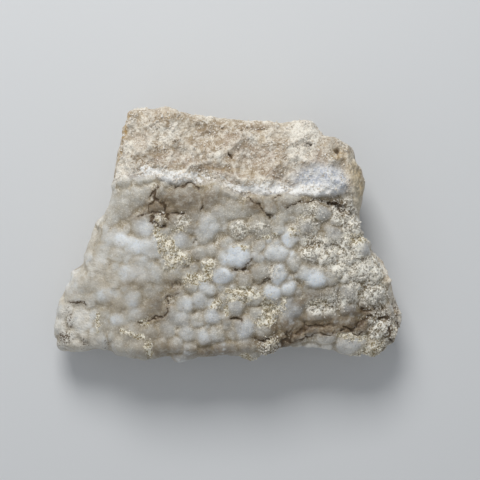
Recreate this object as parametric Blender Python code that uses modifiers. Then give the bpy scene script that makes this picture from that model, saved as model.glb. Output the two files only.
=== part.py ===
"""Chalcedony specimen: a crust of grape-like lumps on its broken matrix, grown as one stone and lying on its back.

The stone is modelled in millimetres, with +X to the right and +Y to the back of its plan and +Z up, and is written
to Blender in metres. Its origin is under the middle of its plan, on the surface that it rests on.

A subdivided cube is moved into a smooth stone (outline, top levels, belt and underside), and the relief is raised
along the smooth stone's own normals: a ledge of matrix, the lumps of the crust, cracks, pits and broken facets.
A Remesh modifier joins the places where the relief has run into itself, and a Decimate modifier then spends the
triangles where the surface bends.
"""

import bmesh
import bpy
import numpy as np

MM = 0.001

# Driving dimensions, in millimetres
STONE_LENGTH = 101.0  # along X, lumps included
STONE_WIDTH = 73.0  # along Y
TRIANGLES = 9400
PLAN_CUTS = 125  # cuts along the level edges of the starting cube
WALL_CUTS = 15  # cuts along its upright edges
EDGE_CROWDING = 0.28  # how much closer the cuts lie near the outline
NORMAL_ROUNDS = 10  # rounds of averaging of the relief's directions
SKIN = 0.45  # how far the relief stands out of the outline, which was read at its outer edge

# Outline seen from above, clockwise: back edge from its left corner, right side, front edge, left side
BACK = [
    (-29.9, 32.6), (-28.6, 35.4), (-24.0, 36.6), (-20.0, 35.9), (-12.0, 34.0), (-4.5, 34.2), (-0.9, 33.2),
    (9.7, 32.7), (22.7, 31.7), (24.0, 30.4), (24.9, 28.4), (32.0, 27.1), (34.8, 26.0), (35.9, 23.8),
]
RIGHT = [
    (35.9, 23.8), (39.4, 16.3), (38.3, 8.6), (38.3, 3.7), (39.8, -1.2), (43.4, -5.7), (47.1, -11.4),
    (48.4, -18.6), (50.4, -24.3), (49.0, -29.0), (47.4, -31.0),
]
FRONT = [
    (47.4, -31.0), (44.4, -32.0), (43.2, -34.1), (35.4, -34.6), (28.0, -32.8), (18.9, -31.9), (14.9, -32.3),
    (8.6, -35.0), (2.3, -34.9), (-2.9, -34.1), (-9.1, -35.1), (-13.7, -36.4), (-18.5, -34.8), (-23.1, -35.7),
    (-30.9, -34.9), (-34.0, -33.7), (-38.9, -33.4), (-44.6, -34.3), (-48.4, -33.2), (-50.0, -31.0),
]
LEFT = [
    (-50.0, -31.0), (-50.7, -27.6), (-50.3, -23.7), (-49.2, -18.6), (-47.3, -15.0), (-45.7, -12.2),
    (-45.1, -9.2), (-42.6, -8.6), (-41.4, -5.0), (-39.1, 0.3), (-38.7, 3.8), (-35.7, 6.1), (-33.6, 11.0),
    (-33.7, 15.7), (-33.0, 21.0), (-29.9, 32.6),
]

# Height of the smooth stone under its relief: (x, y, z) spots, blended over TOP_REACH
TOP_REACH = 7.5
TOP = [
    (-28, 33, 22.5), (-10, 33, 24), (8, 31, 25), (22, 28, 24.5), (33, 23, 22),
    (-31, 18, 24), (-14, 17, 27), (4, 15, 28), (20, 15, 28), (32, 14, 26),
    (-35, 2, 22), (-21, 2, 25), (-4, 3, 26), (12, 2, 27), (26, 2, 27), (35, 1, 24),
    (-43, -12, 19), (-28, -11, 25.5), (-13, -11, 24), (3, -12, 25), (19, -10, 26.5), (33, -11, 25), (44, -13, 20),
    (-47, -27, 14), (-35, -25, 21), (-20, -26, 22), (-4, -27, 22.5), (11, -26, 22), (24, -25, 21), (36, -26, 19.5),
    (46, -26, 15),
]

# Belt, where the stone is widest: (x, y, height, edge radius above it, undercut below it)
BELT_REACH = 7.0
BELT = [
    (-30, 34, 15, 2.6, 5), (-10, 34, 17, 2.2, 5), (10, 32, 17, 2.2, 5), (24, 31, 17, 2.4, 5), (35, 25, 14, 3.2, 5),
    (39, 15, 11, 5.5, 4), (38, 4, 11, 5.0, 4), (43, -6, 10, 5.5, 5), (48, -17, 9, 6.0, 5), (50, -26, 8, 5.0, 6),
    (44, -34, 10, 4.2, 10), (30, -33, 12, 3.6, 14), (16, -32, 12, 3.8, 15), (3, -35, 12, 5.0, 15),
    (-13, -36, 12, 5.0, 14), (-29, -35, 10, 5.0, 11), (-44, -34, 7, 5.0, 7), (-50, -30, 6, 5.5, 5),
    (-50, -21, 7, 5.5, 5), (-45, -11, 9, 5.0, 6), (-39, 1, 12, 4.4, 6), (-34, 12, 13, 4.0, 5),
    (-32, 24, 14, 3.0, 5),
]

# Matrix: it stands above the crust behind this ledge (y for each x) and outside this rim (x for each y)
LEDGE_X = [-60, -36, -28, -22, -17, -13, -9, -5, -2, 2, 8, 14, 18, 23, 28, 32, 60]
LEDGE_Y = [14, 14, 15, 15.5, 14, 13.6, 13.4, 13.6, 12.6, 10.4, 10.2, 10.8, 10.2, 10, 9.8, 10.6, 11]
LEDGE_RISE = [0.2, 0.3, 0.6, 1.4, 1.8, 1.8, 1.8, 2.0, 2.4, 2.6, 2.2, 2.4, 3.2, 3.4, 3.2, 2.4, 1.5]
RIM_Y = [-40, -30, -24, -17, -11, -6, -2, 3, 8, 12, 60]
RIM_X = [49, 47.4, 46.6, 44.6, 42.4, 40.6, 38.4, 35.6, 34, 33.6, 33]
LEDGE_SOFT = 0.9

# Lumps of the crust: (x, y, radius, rise above the smooth stone)
LUMPS = [
    # milky swelling on the left, its lumps almost run together
    (-23.1, 2.3, 3.8, 1.5), (-32.9, -1.2, 3.4, 1.2), (-29.5, -1.3, 3.0, 1.2), (-26.6, -3.2, 3.2, 1.3),
    (-21.7, -3.3, 4.0, 1.7), (-34.6, -4.6, 2.7, 1.0), (-30.8, -5.6, 2.8, 1.1), (-39.1, -6.4, 3.0, 1.1),
    (-35.6, -7.7, 3.0, 1.2), (-27.7, -10.6, 3.5, 1.5), (-23.9, -11.2, 3.0, 1.3), (-20.3, -10.4, 3.0, 1.2),
    (-23.6, -7.3, 2.6, 0.9), (-34.0, -16.2, 3.3, 1.5), (-26.9, -18.0, 3.0, 1.3), (-44.4, -14.9, 4.4, 1.3),
    (-42.8, -10.4, 3.0, 0.9), (-39.6, -13.6, 3.2, 1.0), (-38.6, -18.0, 2.6, 0.9), (-40.4, -23.6, 3.9, 1.4),
    (-48.0, -20.8, 3.2, 1.0), (-47.8, -25.4, 3.2, 1.0), (-45.2, -29.6, 3.4, 1.0), (-36.2, -29.0, 3.4, 1.1),
    (-31.1, -23.1, 2.8, 1.1), (-25.7, -21.7, 3.1, 1.2), (-20.9, -19.8, 2.8, 1.1), (-21.7, -15.4, 2.8, 1.0),
    (-35.1, -24.7, 2.7, 0.9), (-30.4, -30.6, 3.3, 1.4), (-25.5, -31.0, 3.5, 1.6), (-26.3, -26.4, 3.6, 1.6),
    (-21.7, -27.1, 2.4, 1.2), (-41.4, -31.2, 3.2, 1.0), (-31.4, -12.6, 2.8, 0.9), (-30.4, -17.4, 2.6, 0.8),
    # smooth shoulders under the ledge
    (-29.5, 8.6, 5.2, 0.9), (-33.0, 5.4, 3.6, 0.7), (-24.8, 10.4, 4.0, 0.9), (-12.3, 9.8, 5.2, 1.5),
    (-20.0, 7.6, 2.6, 1.4), (-19.4, 4.2, 2.5, 1.6), (-19.6, 11.4, 2.4, 1.0), (-5.0, 9.6, 3.6, 1.0),
    (1.1, 6.6, 3.4, 1.3), (-2.8, 6.4, 3.2, 1.2), (6.6, 7.4, 3.1, 1.8), (11.3, 7.6, 2.9, 1.5),
    (15.6, 8.6, 3.8, 1.7), (19.6, 6.6, 2.8, 1.2),
    # distinct lumps of the middle
    (-14.6, 3.6, 2.9, 1.4), (-10.0, 5.0, 2.4, 1.1), (-11.1, 1.4, 2.0, 1.0), (-13.2, -1.5, 2.8, 1.7),
    (-18.6, 0.0, 2.5, 1.3), (-11.7, -6.4, 2.1, 1.6), (-16.6, -7.6, 2.5, 1.3), (-14.6, -10.6, 2.3, 1.2),
    (-10.9, -10.9, 2.1, 1.2), (-16.8, -4.2, 2.1, 1.1), (-5.1, 2.7, 4.2, 1.8), (-6.6, 0.4, 3.4, 1.5),
    (2.6, 1.4, 3.1, 1.8), (8.6, 2.0, 3.9, 2.0), (13.7, 2.0, 2.9, 1.5), (2.9, -5.7, 4.3, 2.3),
    (-0.8, -6.0, 3.2, 1.5), (-2.0, -11.1, 3.2, 2.1), (-5.7, -8.3, 2.4, 1.7), (-6.8, -11.6, 2.3, 1.3),
    (-8.0, -4.8, 2.5, 1.3), (-4.8, -3.9, 2.3, 1.1), (4.3, -12.2, 2.7, 1.8), (1.2, -11.3, 2.1, 1.1),
    (8.6, -9.6, 2.9, 1.8), (8.0, -5.9, 2.2, 1.1), (8.3, -3.0, 2.3, 0.9), (13.3, -10.8, 3.1, 1.7),
    (13.2, -4.6, 4.1, 1.9), (16.6, -1.3, 3.0, 1.5), (12.0, -15.4, 3.3, 1.9), (16.2, -14.6, 2.9, 1.5),
    (20.4, -10.0, 2.9, 1.6), (23.4, -11.5, 3.8, 2.2), (17.8, -7.2, 3.0, 1.4), (17.7, 1.1, 1.7, 1.6),
    (20.8, 2.6, 3.0, 1.7), (14.8, 4.6, 2.2, 1.0),
    # lower middle
    (1.7, -20.0, 2.9, 2.0), (-0.9, -16.9, 2.4, 1.4), (3.0, -16.6, 2.2, 1.2), (7.0, -17.0, 2.6, 1.7),
    (4.2, -25.3, 3.8, 2.3), (4.8, -30.2, 2.9, 1.6), (9.2, -25.4, 3.3, 1.9), (7.6, -21.8, 2.5, 1.5),
    (9.8, -31.0, 2.6, 1.2), (6.2, -33.2, 2.5, 1.0), (-4.6, -22.2, 3.1, 1.8), (-8.0, -18.0, 3.2, 1.8),
    (-12.3, -18.9, 2.9, 1.6), (-13.0, -22.6, 2.8, 1.4), (-6.0, -14.5, 2.8, 1.6), (-10.2, -13.7, 2.4, 1.4),
    (-16.2, -21.0, 2.5, 1.1), (-11.8, -27.0, 2.9, 1.5), (-17.1, -25.8, 2.8, 1.3), (-18.4, -30.6, 2.7, 1.3),
    (-14.8, -30.4, 2.6, 1.3), (-11.4, -31.4, 2.6, 1.3), (-13.3, -34.2, 2.8, 1.2), (-6.9, -28.0, 2.8, 1.4),
    (-3.6, -27.4, 2.6, 1.3), (-2.0, -31.4, 3.0, 1.6), (-7.0, -32.0, 2.6, 1.1), (1.4, -31.8, 2.4, 1.1),
    (-20.6, -32.4, 2.3, 1.1), (-8.6, -23.6, 2.4, 1.1), (-0.6, -23.4, 2.2, 1.0),
    # grit-covered right side
    (25.2, 5.8, 3.0, 2.0), (22.2, 6.4, 2.3, 1.2), (22.0, -5.6, 2.7, 1.5), (28.6, -0.2, 3.1, 1.8),
    (29.2, 4.2, 2.1, 1.1), (36.0, -3.6, 2.8, 1.9), (36.3, -10.0, 2.7, 1.6), (33.0, -16.0, 2.9, 1.6),
    (40.2, -16.5, 3.2, 1.9), (32.9, -20.4, 3.0, 1.7), (33.0, -24.4, 2.9, 1.8), (23.0, -16.2, 2.9, 1.4),
    (27.6, -15.8, 2.5, 1.3), (17.3, -20.0, 4.2, 1.9), (16.4, -23.8, 3.0, 1.4), (23.3, -21.8, 2.9, 1.4),
    (27.2, -21.6, 2.4, 1.2), (22.6, -26.3, 2.5, 1.5), (18.5, -28.2, 2.5, 1.5), (26.7, -27.4, 3.0, 1.9),
    (29.8, -23.6, 2.0, 1.0), (36.8, -25.6, 2.3, 1.5), (39.3, -22.6, 2.4, 1.3), (42.3, -26.0, 2.4, 1.2),
    (45.2, -22.0, 2.5, 1.3), (45.4, -26.6, 2.2, 1.0), (40.4, -31.0, 2.8, 1.1), (32.6, -30.6, 5.0, 1.2),
    (30.4, -9.6, 2.8, 1.3), (27.0, -5.8, 2.6, 1.2), (32.0, -5.8, 2.5, 1.1), (34.2, 1.6, 2.2, 0.9),
    (27.6, -11.6, 2.3, 1.2), (40.2, -11.0, 2.4, 1.0),
]
# Small lumps fill the gaps, on a jittered lattice
FILL_CELL = 3.3
FILL_RADIUS = 1.8
FILL_RISE = 0.5
GAP_DEPTH = 0.8  # the crust's floor between lumps, below the smooth stone
RISE_SCALE = 1.2
# Lumps run together on the swelling at the left and stand apart elsewhere
FUSED_AT = (-34.0, -14.0)
FUSED_REACH = 15.0
FUSED_BLEND = 0.55
APART_BLEND = 0.16

# Cracks between lumps: depth, half width and the points each runs through
CRACKS = [
    (1.2, 0.5, [(-21.7, 10.9), (-19.6, 12.9), (-20.2, 10.2), (-18.4, 8.5), (-17.2, 6.6), (-17.4, 4.0)]),
    (1.2, 0.5, [(-25.2, 4.4), (-23.2, 5.6), (-21.6, 5.4), (-22.4, 8.6)]),
    (0.9, 0.5, [(-21.3, 3.4), (-19.5, 2.0), (-17.8, 2.6)]),
    (0.9, 0.5, [(-17.0, 6.0), (-12.4, 5.2)]),
    (0.9, 0.5, [(5.2, 9.6), (8.0, 8.6), (9.6, 6.2), (12.0, 4.2)]),
    (1.0, 0.5, [(16.4, 7.2), (19.6, 9.2), (24.6, 8.8)]),
    (0.9, 0.5, [(-25.4, -23.9), (-21.6, -23.4), (-17.6, -21.8), (-17.0, -17.4), (-14.0, -16.0)]),
    (1.0, 0.6, [(1.4, -9.4), (4.8, -9.4), (6.4, -6.6)]),
    (1.0, 0.6, [(9.6, -12.7), (11.2, -12.0)]),
    (1.0, 0.5, [(0.2, -22.6), (3.2, -23.0)]),
    (1.2, 0.6, [(7.4, -28.8), (10.0, -29.4), (12.4, -28.0)]),
    (1.4, 0.7, [(14.6, -30.0), (17.0, -28.4), (16.2, -26.4), (20.8, -25.0), (25.0, -24.8)]),
    (1.3, 0.6, [(30.8, -26.4), (33.8, -26.8), (36.0, -23.6), (38.2, -23.8)]),
    (1.3, 0.7, [(36.6, -20.2), (39.4, -20.9), (41.8, -19.8)]),
    (1.2, 0.6, [(42.4, -23.0), (44.2, -22.8), (44.4, -28.6), (46.6, -29.2)]),
    (0.7, 0.5, [(-43.8, -18.6), (-41.6, -18.8)]),
]
# Holes: (x, y, radius, depth)
PITS = [
    (29.6, 9.0, 2.2, 3.6), (22.0, 24.0, 0.9, 1.2), (0.6, 21.6, 1.0, 1.2), (3.2, 28.2, 0.7, 0.9),
    (17.4, 28.8, 0.7, 0.9), (28.8, 22.2, 1.2, 1.0), (-21.0, 29.6, 0.8, 0.8), (10.4, 30.0, 0.8, 0.8),
    (-13.6, -13.4, 1.4, 1.4), (-10.2, -1.8, 0.8, 1.2), (10.8, 4.6, 0.9, 1.0), (37.0, 18.2, 0.7, 0.8),
]

# Broken faces of the matrix: (cell, depth) of the scallops, coarse to fine
SCALLOPS = [(15.0, 8.0), (7.0, 5.0), (3.4, 2.0)]
SCALLOP_TURN = [[0.80, 0.58, 0.16], [-0.60, 0.77, 0.22], [0.0, -0.27, 0.96]]
WALL_SHARE = 0.45  # how deep the scallops of the walls are beside those of the top and the underside
LEDGE_WANDER = 2.2  # how far the scallops shift the ledge and the rim
# Underside: it arches up towards its edge and rests on its lowest facets
ARCH_HEIGHT = 4.5
ARCH_REACH = 11.0
WALL_BULGE = 1.35
SETTLE_ROUNDS = 5
SETTLE_SHARE = 0.8
FEET = [(-25, 13, 6.5, 1.6), (23, 14, 6.5, 2.2), (27, -11, 6.5, 2.4), (-26, -10, 6.5, 2.2)]  # (x, y, reach, depth)
REST_CUT = 0.6  # level of the resting plane, from the smooth underside
SNAP = 0.06  # what lies this close to the resting plane lies on it
REMESH_CELL = 0.42  # cell of the mesh that the triangles are then spent from
# Inner corners of the outline, where the relief is held back so that its sides stay apart: (x, y, reach, share)
CALM = [(26.0, 28.0, 5.5, 0.75), (45.6, -32.4, 4.5, 0.7)]
FOOT_REACH = 28  # places of the outline that a place of the foot is averaged over, to each side
FAR_BELOW = -9.0


def cell_random(cells, salt):
    """A repeatable random number from -1 to 1 for each whole-number cell (x, y, z)."""
    x, y, z = (cells[..., axis].astype(np.int64) for axis in range(3))
    mixed = (x * 374761393 + y * 668265263 + z * 2147483629 + salt * 974634777) & 0xFFFFFFFF
    mixed = ((mixed ^ (mixed >> 13)) * 1274126177) & 0xFFFFFFFF
    return (mixed ^ (mixed >> 16)) / 0x7FFFFFFF - 1.0


def neighbours():
    """Offsets to the cells around a cell, itself included, as whole-number rows."""
    return np.array([(i, j, k) for i in (-1, 0, 1) for j in (-1, 0, 1) for k in (-1, 0, 1)])


def scallops(points, cell, salt):
    """Shell-like broken hollows with sharp ridges between them, about -0.4 to 0.4: the lowest of the tilted bowls
    of the seeds in the cells around each point."""
    at = points / cell
    home = np.floor(at)
    lowest = np.full(len(points), np.inf)
    for offset in neighbours():
        other = home + offset
        jitter = np.stack([cell_random(other, salt + axis) for axis in range(3)], axis=1)
        tilt = np.stack([cell_random(other, salt + 3 + axis) for axis in range(3)], axis=1)
        away = at - (other + 0.5 + 0.35 * jitter)
        lowest = np.minimum(lowest, 0.45 * (tilt * away).sum(axis=1) + 0.5 * (away**2).sum(axis=1))
    return lowest - 0.12


def smooth_step(value, low, high):
    """0 below low, 1 above high, and a smooth rise between."""
    t = np.clip((value - low) / (high - low), 0, 1)
    return t * t * (3 - 2 * t)


def blend_spots(plan, spots, reach):
    """Values of the spots (x, y, values...) blended by distance over reach, one row for each plan point."""
    spots = np.array(spots, float)
    away = ((plan[:, None, :] - spots[None, :, :2]) ** 2).sum(axis=2)
    weight = np.exp(-(away - away.min(axis=1, keepdims=True)) / (2 * reach**2))
    return weight @ spots[:, 2:] / weight.sum(axis=1, keepdims=True)


def distance_to_path(plan, path):
    """Distance from each plan point to an open path of straight runs."""
    path = np.array(path, float)
    nearest = np.full(len(plan), np.inf)
    for start, end in zip(path[:-1], path[1:]):
        run = end - start
        along = np.clip((plan - start) @ run / (run @ run), 0, 1)
        nearest = np.minimum(nearest, np.hypot(*(plan - start - along[:, None] * run).T))
    return nearest


def side_curve(points, count):
    """A smooth curve through the points (Catmull-Rom), as count evenly spaced places on it."""
    points = np.array(points, float)
    padded = np.vstack([2 * points[0] - points[1], points, 2 * points[-1] - points[-2]])
    t = np.linspace(0, 1, 12, endpoint=False)[:, None]
    runs = [
        0.5 * (2 * b + (c - a) * t + (2 * a - 5 * b + 4 * c - d) * t**2 + (3 * b - a - 3 * c + d) * t**3)
        for a, b, c, d in zip(padded, padded[1:], padded[2:], padded[3:])
    ]
    line = np.vstack([*runs, points[-1:]])
    length = np.concatenate([[0], np.hypot(*np.diff(line, axis=0).T).cumsum()])
    even = np.linspace(0, length[-1], count)
    return np.stack([np.interp(even, length, line[:, axis]) for axis in range(2)], axis=1)


def patch(sides, across, up):
    """Plan points inside four sides for across and up from 0 to 1: the Coons patch of the sides."""
    back, right, front, left = sides
    steps = len(back) - 1

    def on(side, share):
        place = np.clip(share, 0, 1) * steps
        low = np.minimum(place.astype(int), steps - 1)
        return side[low] + (place - low)[:, None] * (side[low + 1] - side[low])

    s, t = across[:, None], up[:, None]
    corners = (1 - s) * ((1 - t) * front[0] + t * back[0]) + s * ((1 - t) * front[-1] + t * back[-1])
    ruled = (1 - t) * on(front, across) + t * on(back, across) + (1 - s) * on(left, up) + s * on(right, up)
    return ruled - corners


def inward_normals(loop):
    """Unit directions into a clockwise closed loop, one for each of its points."""
    ahead = np.roll(loop, -2, axis=0) - np.roll(loop, 2, axis=0)
    return np.stack([ahead[:, 1], -ahead[:, 0]], axis=1) / np.hypot(*ahead.T)[:, None]


def outline_loop(count=240):
    """The outline as a clockwise closed loop, drawn in by the relief's skin, with count points a side."""
    loop = np.vstack([side_curve(side, count + 1)[:-1] for side in (BACK, RIGHT, FRONT, LEFT)])
    return loop + SKIN * inward_normals(loop)


def sides_of(loop):
    """The loop's four sides: back and front from left to right, left and right from front to back."""
    run = len(loop) // 4
    closed = np.vstack([loop, loop[:1]])
    back, right, front, left = (closed[i * run : (i + 1) * run + 1] for i in range(4))
    return back, right[::-1], front[::-1], left


def foot_loop(loop):
    """The foot's edge: the outline, averaged along itself and moved to the stone's middle line by its undercut."""
    steps = range(-FOOT_REACH, FOOT_REACH + 1, 4)
    even = sum(np.roll(loop, step, axis=0) for step in steps) / len(steps)
    undercut = blend_spots(loop, BELT, BELT_REACH)[:, 2:]
    toward = even * (0.45, 0.1) - even
    return even + toward / np.hypot(*toward.T)[:, None] * undercut


def crowd(share):
    """Shares from 0 to 1 moved towards the nearer end, so that even steps lie closer there."""
    return share - EDGE_CROWDING * np.sin(2 * np.pi * share) / (2 * np.pi)


def smooth_stone(cube):
    """Moves the points of a cube from -1 to 1 onto the smooth stone.

    The cube's top takes the patch inside the outline, raised by the top levels and rounded down to the belt. Its
    sides run from the belt to the foot, and its bottom takes the patch inside the foot."""
    across, up = (crowd((cube[:, axis] + 1) / 2) for axis in (0, 1))
    loop = outline_loop()
    feet = foot_loop(loop)
    wide, foot = patch(sides_of(loop), across, up), patch(sides_of(feet), across, up)
    belt = blend_spots(wide, BELT, BELT_REACH)[:, 0]
    inside = np.clip(distance_to_path(foot, np.vstack([feet[::3], feet[:1]])) / ARCH_REACH, 0, 1)
    arch = ARCH_HEIGHT * (1 - inside) ** 2
    down = (1 - cube[:, 2]) / 2
    is_top, is_under = cube[:, 2] > 0.9999, cube[:, 2] < -0.9999
    share = (down**WALL_BULGE)[:, None]
    points = np.hstack([wide + (foot - wide) * share, (belt + (arch - belt) * down)[:, None]])
    points[is_top, 2] = smooth_height(wide[is_top])
    points[is_under] = np.hstack([foot, arch[:, None]])[is_under]
    return points


def spread(values, quads, count):
    """The sum at each of count vertices of its faces' values."""
    total = np.zeros((count, values.shape[1]))
    for corner in range(4):
        for axis in range(values.shape[1]):
            total[:, axis] += np.bincount(quads[:, corner], values[:, axis], count)
    return total


def unit(vectors):
    """Each row at length 1."""
    return vectors / np.linalg.norm(vectors, axis=1, keepdims=True)


def relief_directions(points, quads):
    """Unit normals at the points, averaged with their neighbours' so that they turn slowly over edges."""
    a, b, c, d = (points[quads[:, corner]] for corner in range(4))
    normals = unit(spread(np.cross(c - a, d - b), quads, len(points)))
    for _ in range(NORMAL_ROUNDS):
        normals = unit(spread(normals[quads].mean(axis=1), quads, len(points)))
    return normals


def smooth_height(plan):
    """Height of the smooth stone's top: the top levels, rounded down to the belt at the outline."""
    belt, edge, _ = blend_spots(plan, BELT, BELT_REACH).T
    loop = outline_loop()
    inside = np.clip(distance_to_path(plan, np.vstack([loop[::3], loop[:1]])) / edge, 0, 1)
    return belt + (blend_spots(plan, TOP, TOP_REACH)[:, 0] - belt) * np.sqrt(1 - (1 - inside) ** 2)


def fill_lumps():
    """Small lumps for the gaps between the placed ones: (x, y, radius, rise) rows on a jittered lattice."""
    columns, rows = np.meshgrid(np.arange(-17, 18), np.arange(-12, 6))
    cells = np.stack([columns.ravel(), rows.ravel(), np.zeros(columns.size)], axis=1)
    jitter = np.stack([cell_random(cells, salt) for salt in (71, 72, 73)], axis=1)
    plan = (cells[:, :2] + 0.5 + 0.38 * jitter[:, :2]) * FILL_CELL
    size = 1 + 0.25 * jitter[:, 2]
    return np.column_stack([plan, FILL_RADIUS * size, FILL_RISE * size])


def all_lumps():
    """Placed and small lumps as (x, y, radius, rise) rows, those at the edge drawn in to stand out by the skin."""
    lumps = np.vstack([LUMPS, fill_lumps()])
    loop = outline_loop()
    away = lumps[:, None, :2] - loop[None]
    nearest = (away**2).sum(axis=2).argmin(axis=1)
    inward = inward_normals(loop)[nearest]
    depth = ((lumps[:, :2] - loop[nearest]) * inward).sum(axis=1)
    wanted = lumps[:, 2] - SKIN
    lumps[:, :2] += inward * np.clip(wanted - depth, 0, None)[:, None]
    return lumps[depth > -1]


def matrix_share(plan):
    """1 on the matrix, behind the ledge or outside the rim, and 0 on the crust."""
    flat = np.column_stack([plan, np.zeros(len(plan))])
    x, y = (plan + LEDGE_WANDER * np.column_stack([scallops(flat, 4.5, 91), scallops(flat, 4.5, 97)])).T
    behind = smooth_step(y - np.interp(x, LEDGE_X, LEDGE_Y), -LEDGE_SOFT, LEDGE_SOFT)
    outside = smooth_step(x - np.interp(y, RIM_Y, RIM_X), -LEDGE_SOFT, LEDGE_SOFT)
    return np.maximum(behind, outside)


def lump_relief(points, normals, blend):
    """How far along each point's normal the lumps reach: the outer crossing of that line with each lump's sphere,
    run together by blend, and never below the gap's floor."""
    lumps = all_lumps()
    middles = np.column_stack([lumps[:, :2], smooth_height(lumps[:, :2]) - lumps[:, 2] + RISE_SCALE * lumps[:, 3]])
    total = np.exp(-GAP_DEPTH / blend)
    for middle, radius in zip(middles, lumps[:, 2]):
        near = np.flatnonzero(np.abs(points - middle).max(axis=1) < radius + 3)
        away = points[near] - middle
        along = (normals[near] * away).sum(axis=1)
        inside = along**2 - (away**2).sum(axis=1) + radius**2
        hit = inside > 0
        near, along = near[hit], along[hit]
        facing = smooth_step(along, -0.7 * radius, -0.2 * radius)
        reach = (np.sqrt(inside[hit]) - along + GAP_DEPTH) * facing - GAP_DEPTH
        total[near] += np.exp(np.clip(reach, FAR_BELOW, None) / blend[near])
    return blend * np.log(total)


def relief(points, normals):
    """How far each point of the smooth stone moves out along its normal."""
    plan = points[:, :2]
    upward = smooth_step(normals[:, 2], -0.35, 0.15)
    rock = np.maximum(matrix_share(plan), 1 - upward)
    fused = np.exp(-((plan - FUSED_AT) ** 2).sum(axis=1) / (2 * FUSED_REACH**2))
    blend = APART_BLEND + (FUSED_BLEND - APART_BLEND) * fused
    crust = lump_relief(points, normals, blend)
    turned = points @ SCALLOP_TURN
    broken = sum(depth * scallops(turned, cell, 11 + 20 * i) for i, (cell, depth) in enumerate(SCALLOPS))
    broken *= WALL_SHARE + (1 - WALL_SHARE) * smooth_step(np.abs(normals[:, 2]), 0.2, 0.8)
    ledge = np.interp(plan[:, 0], LEDGE_X, LEDGE_RISE)
    broken += ledge * matrix_share(plan) * smooth_step(normals[:, 2], 0.1, 0.7)
    amount = crust * (1 - rock) + broken * rock
    for x, y, reach, share in CALM:
        amount *= 1 - share * np.exp(-((plan - (x, y)) ** 2).sum(axis=1) / reach**2)
    downward = smooth_step(-normals[:, 2], 0.3, 0.8)
    for x, y, reach, depth in FEET:
        amount += depth * downward * np.exp(-((plan - (x, y)) ** 2).sum(axis=1) / reach**2)
    for depth, width, path in CRACKS:
        amount -= depth * upward * np.exp(-((distance_to_path(plan, path) / width) ** 2))
    for x, y, radius, depth in PITS:
        amount -= depth * upward * np.exp(-(((plan - (x, y)) ** 2).sum(axis=1) / radius**2) ** 2)
    return amount


def is_level(edge):
    """True for an edge that keeps its height."""
    return abs(edge.verts[0].co.z - edge.verts[1].co.z) < 1e-6


def cube_mesh():
    """A cube from -1 to 1 with each face cut into a grid, as a bmesh."""
    mesh = bmesh.new()
    bmesh.ops.create_cube(mesh, size=2)
    upright = [edge for edge in mesh.edges if not is_level(edge)]
    bmesh.ops.subdivide_edges(mesh, edges=upright, cuts=WALL_CUTS)
    level = [edge for edge in mesh.edges if is_level(edge)]
    bmesh.ops.subdivide_edges(mesh, edges=level, cuts=PLAN_CUTS, use_grid_fill=True)
    mesh.verts.index_update()
    return mesh


def settle(points, normals, quads):
    """Evens out the walls and the underside, so that the relief leaves no folds there."""
    share = SETTLE_SHARE * (1 - smooth_step(normals[:, 2], -0.1, 0.35))[:, None]
    faces = np.bincount(quads.ravel(), minlength=len(points))[:, None]
    for _ in range(SETTLE_ROUNDS):
        near = spread(points[quads].mean(axis=1), quads, len(points)) / faces
        points = points + share * (near - points)
    return points


def fine_mesh():
    """The stone as a fine mesh in millimetres, cut off flat where it goes below the resting plane."""
    mesh = cube_mesh()
    cube = np.array([vert.co for vert in mesh.verts])
    quads = np.array([[vert.index for vert in face.verts] for face in mesh.faces])
    points = smooth_stone(cube)
    normals = relief_directions(points, quads)
    points = points + normals * relief(points, normals)[:, None]
    points = settle(points, normals, quads)
    points[:, 2] = np.maximum(points[:, 2] - REST_CUT, 0)
    for vert, place in zip(mesh.verts, points):
        vert.co = place
    data = bpy.data.meshes.new("fine_stone")
    mesh.to_mesh(data)
    mesh.free()
    return data


def thinned(data, triangles):
    """A mesh's shape in about this many triangles, spent where it bends."""
    helper = bpy.data.objects.new("fine_stone", data)
    bpy.context.scene.collection.objects.link(helper)
    remesh = helper.modifiers.new("one_skin", "REMESH")
    remesh.mode = "VOXEL"
    remesh.voxel_size = REMESH_CELL
    even = helper.evaluated_get(bpy.context.evaluated_depsgraph_get())
    decimate = helper.modifiers.new("fewer_triangles", "DECIMATE")
    decimate.ratio = triangles / (2 * len(even.data.polygons))
    decimate.use_collapse_triangulate = True
    result = bpy.data.meshes.new_from_object(helper.evaluated_get(bpy.context.evaluated_depsgraph_get()))
    bpy.data.objects.remove(helper)
    return result


def fit_to_size(data):
    """Scales the mesh to the stone's length and width, centres its plan and sets its foot on height 0."""
    points = np.empty(3 * len(data.vertices))
    data.vertices.foreach_get("co", points)
    points = points.reshape(-1, 3)
    low, high = points.min(axis=0), points.max(axis=0)
    points[:, :2] = (points[:, :2] - (low + high)[:2] / 2) * (STONE_LENGTH, STONE_WIDTH) / (high - low)[:2]
    points[points[:, 2] < SNAP, 2] = 0
    data.vertices.foreach_set("co", (points * MM).ravel())
    data.update()


def stone_material():
    """Milky chalcedony, white with a little warm grey."""
    material = bpy.data.materials.new("milky_chalcedony")
    material.use_nodes = True
    shader = material.node_tree.nodes["Principled BSDF"]
    shader.inputs["Base Color"].default_value = (0.62, 0.59, 0.53, 1)
    shader.inputs["Roughness"].default_value = 0.5
    shader.inputs["Metallic"].default_value = 0.0
    return material


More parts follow.
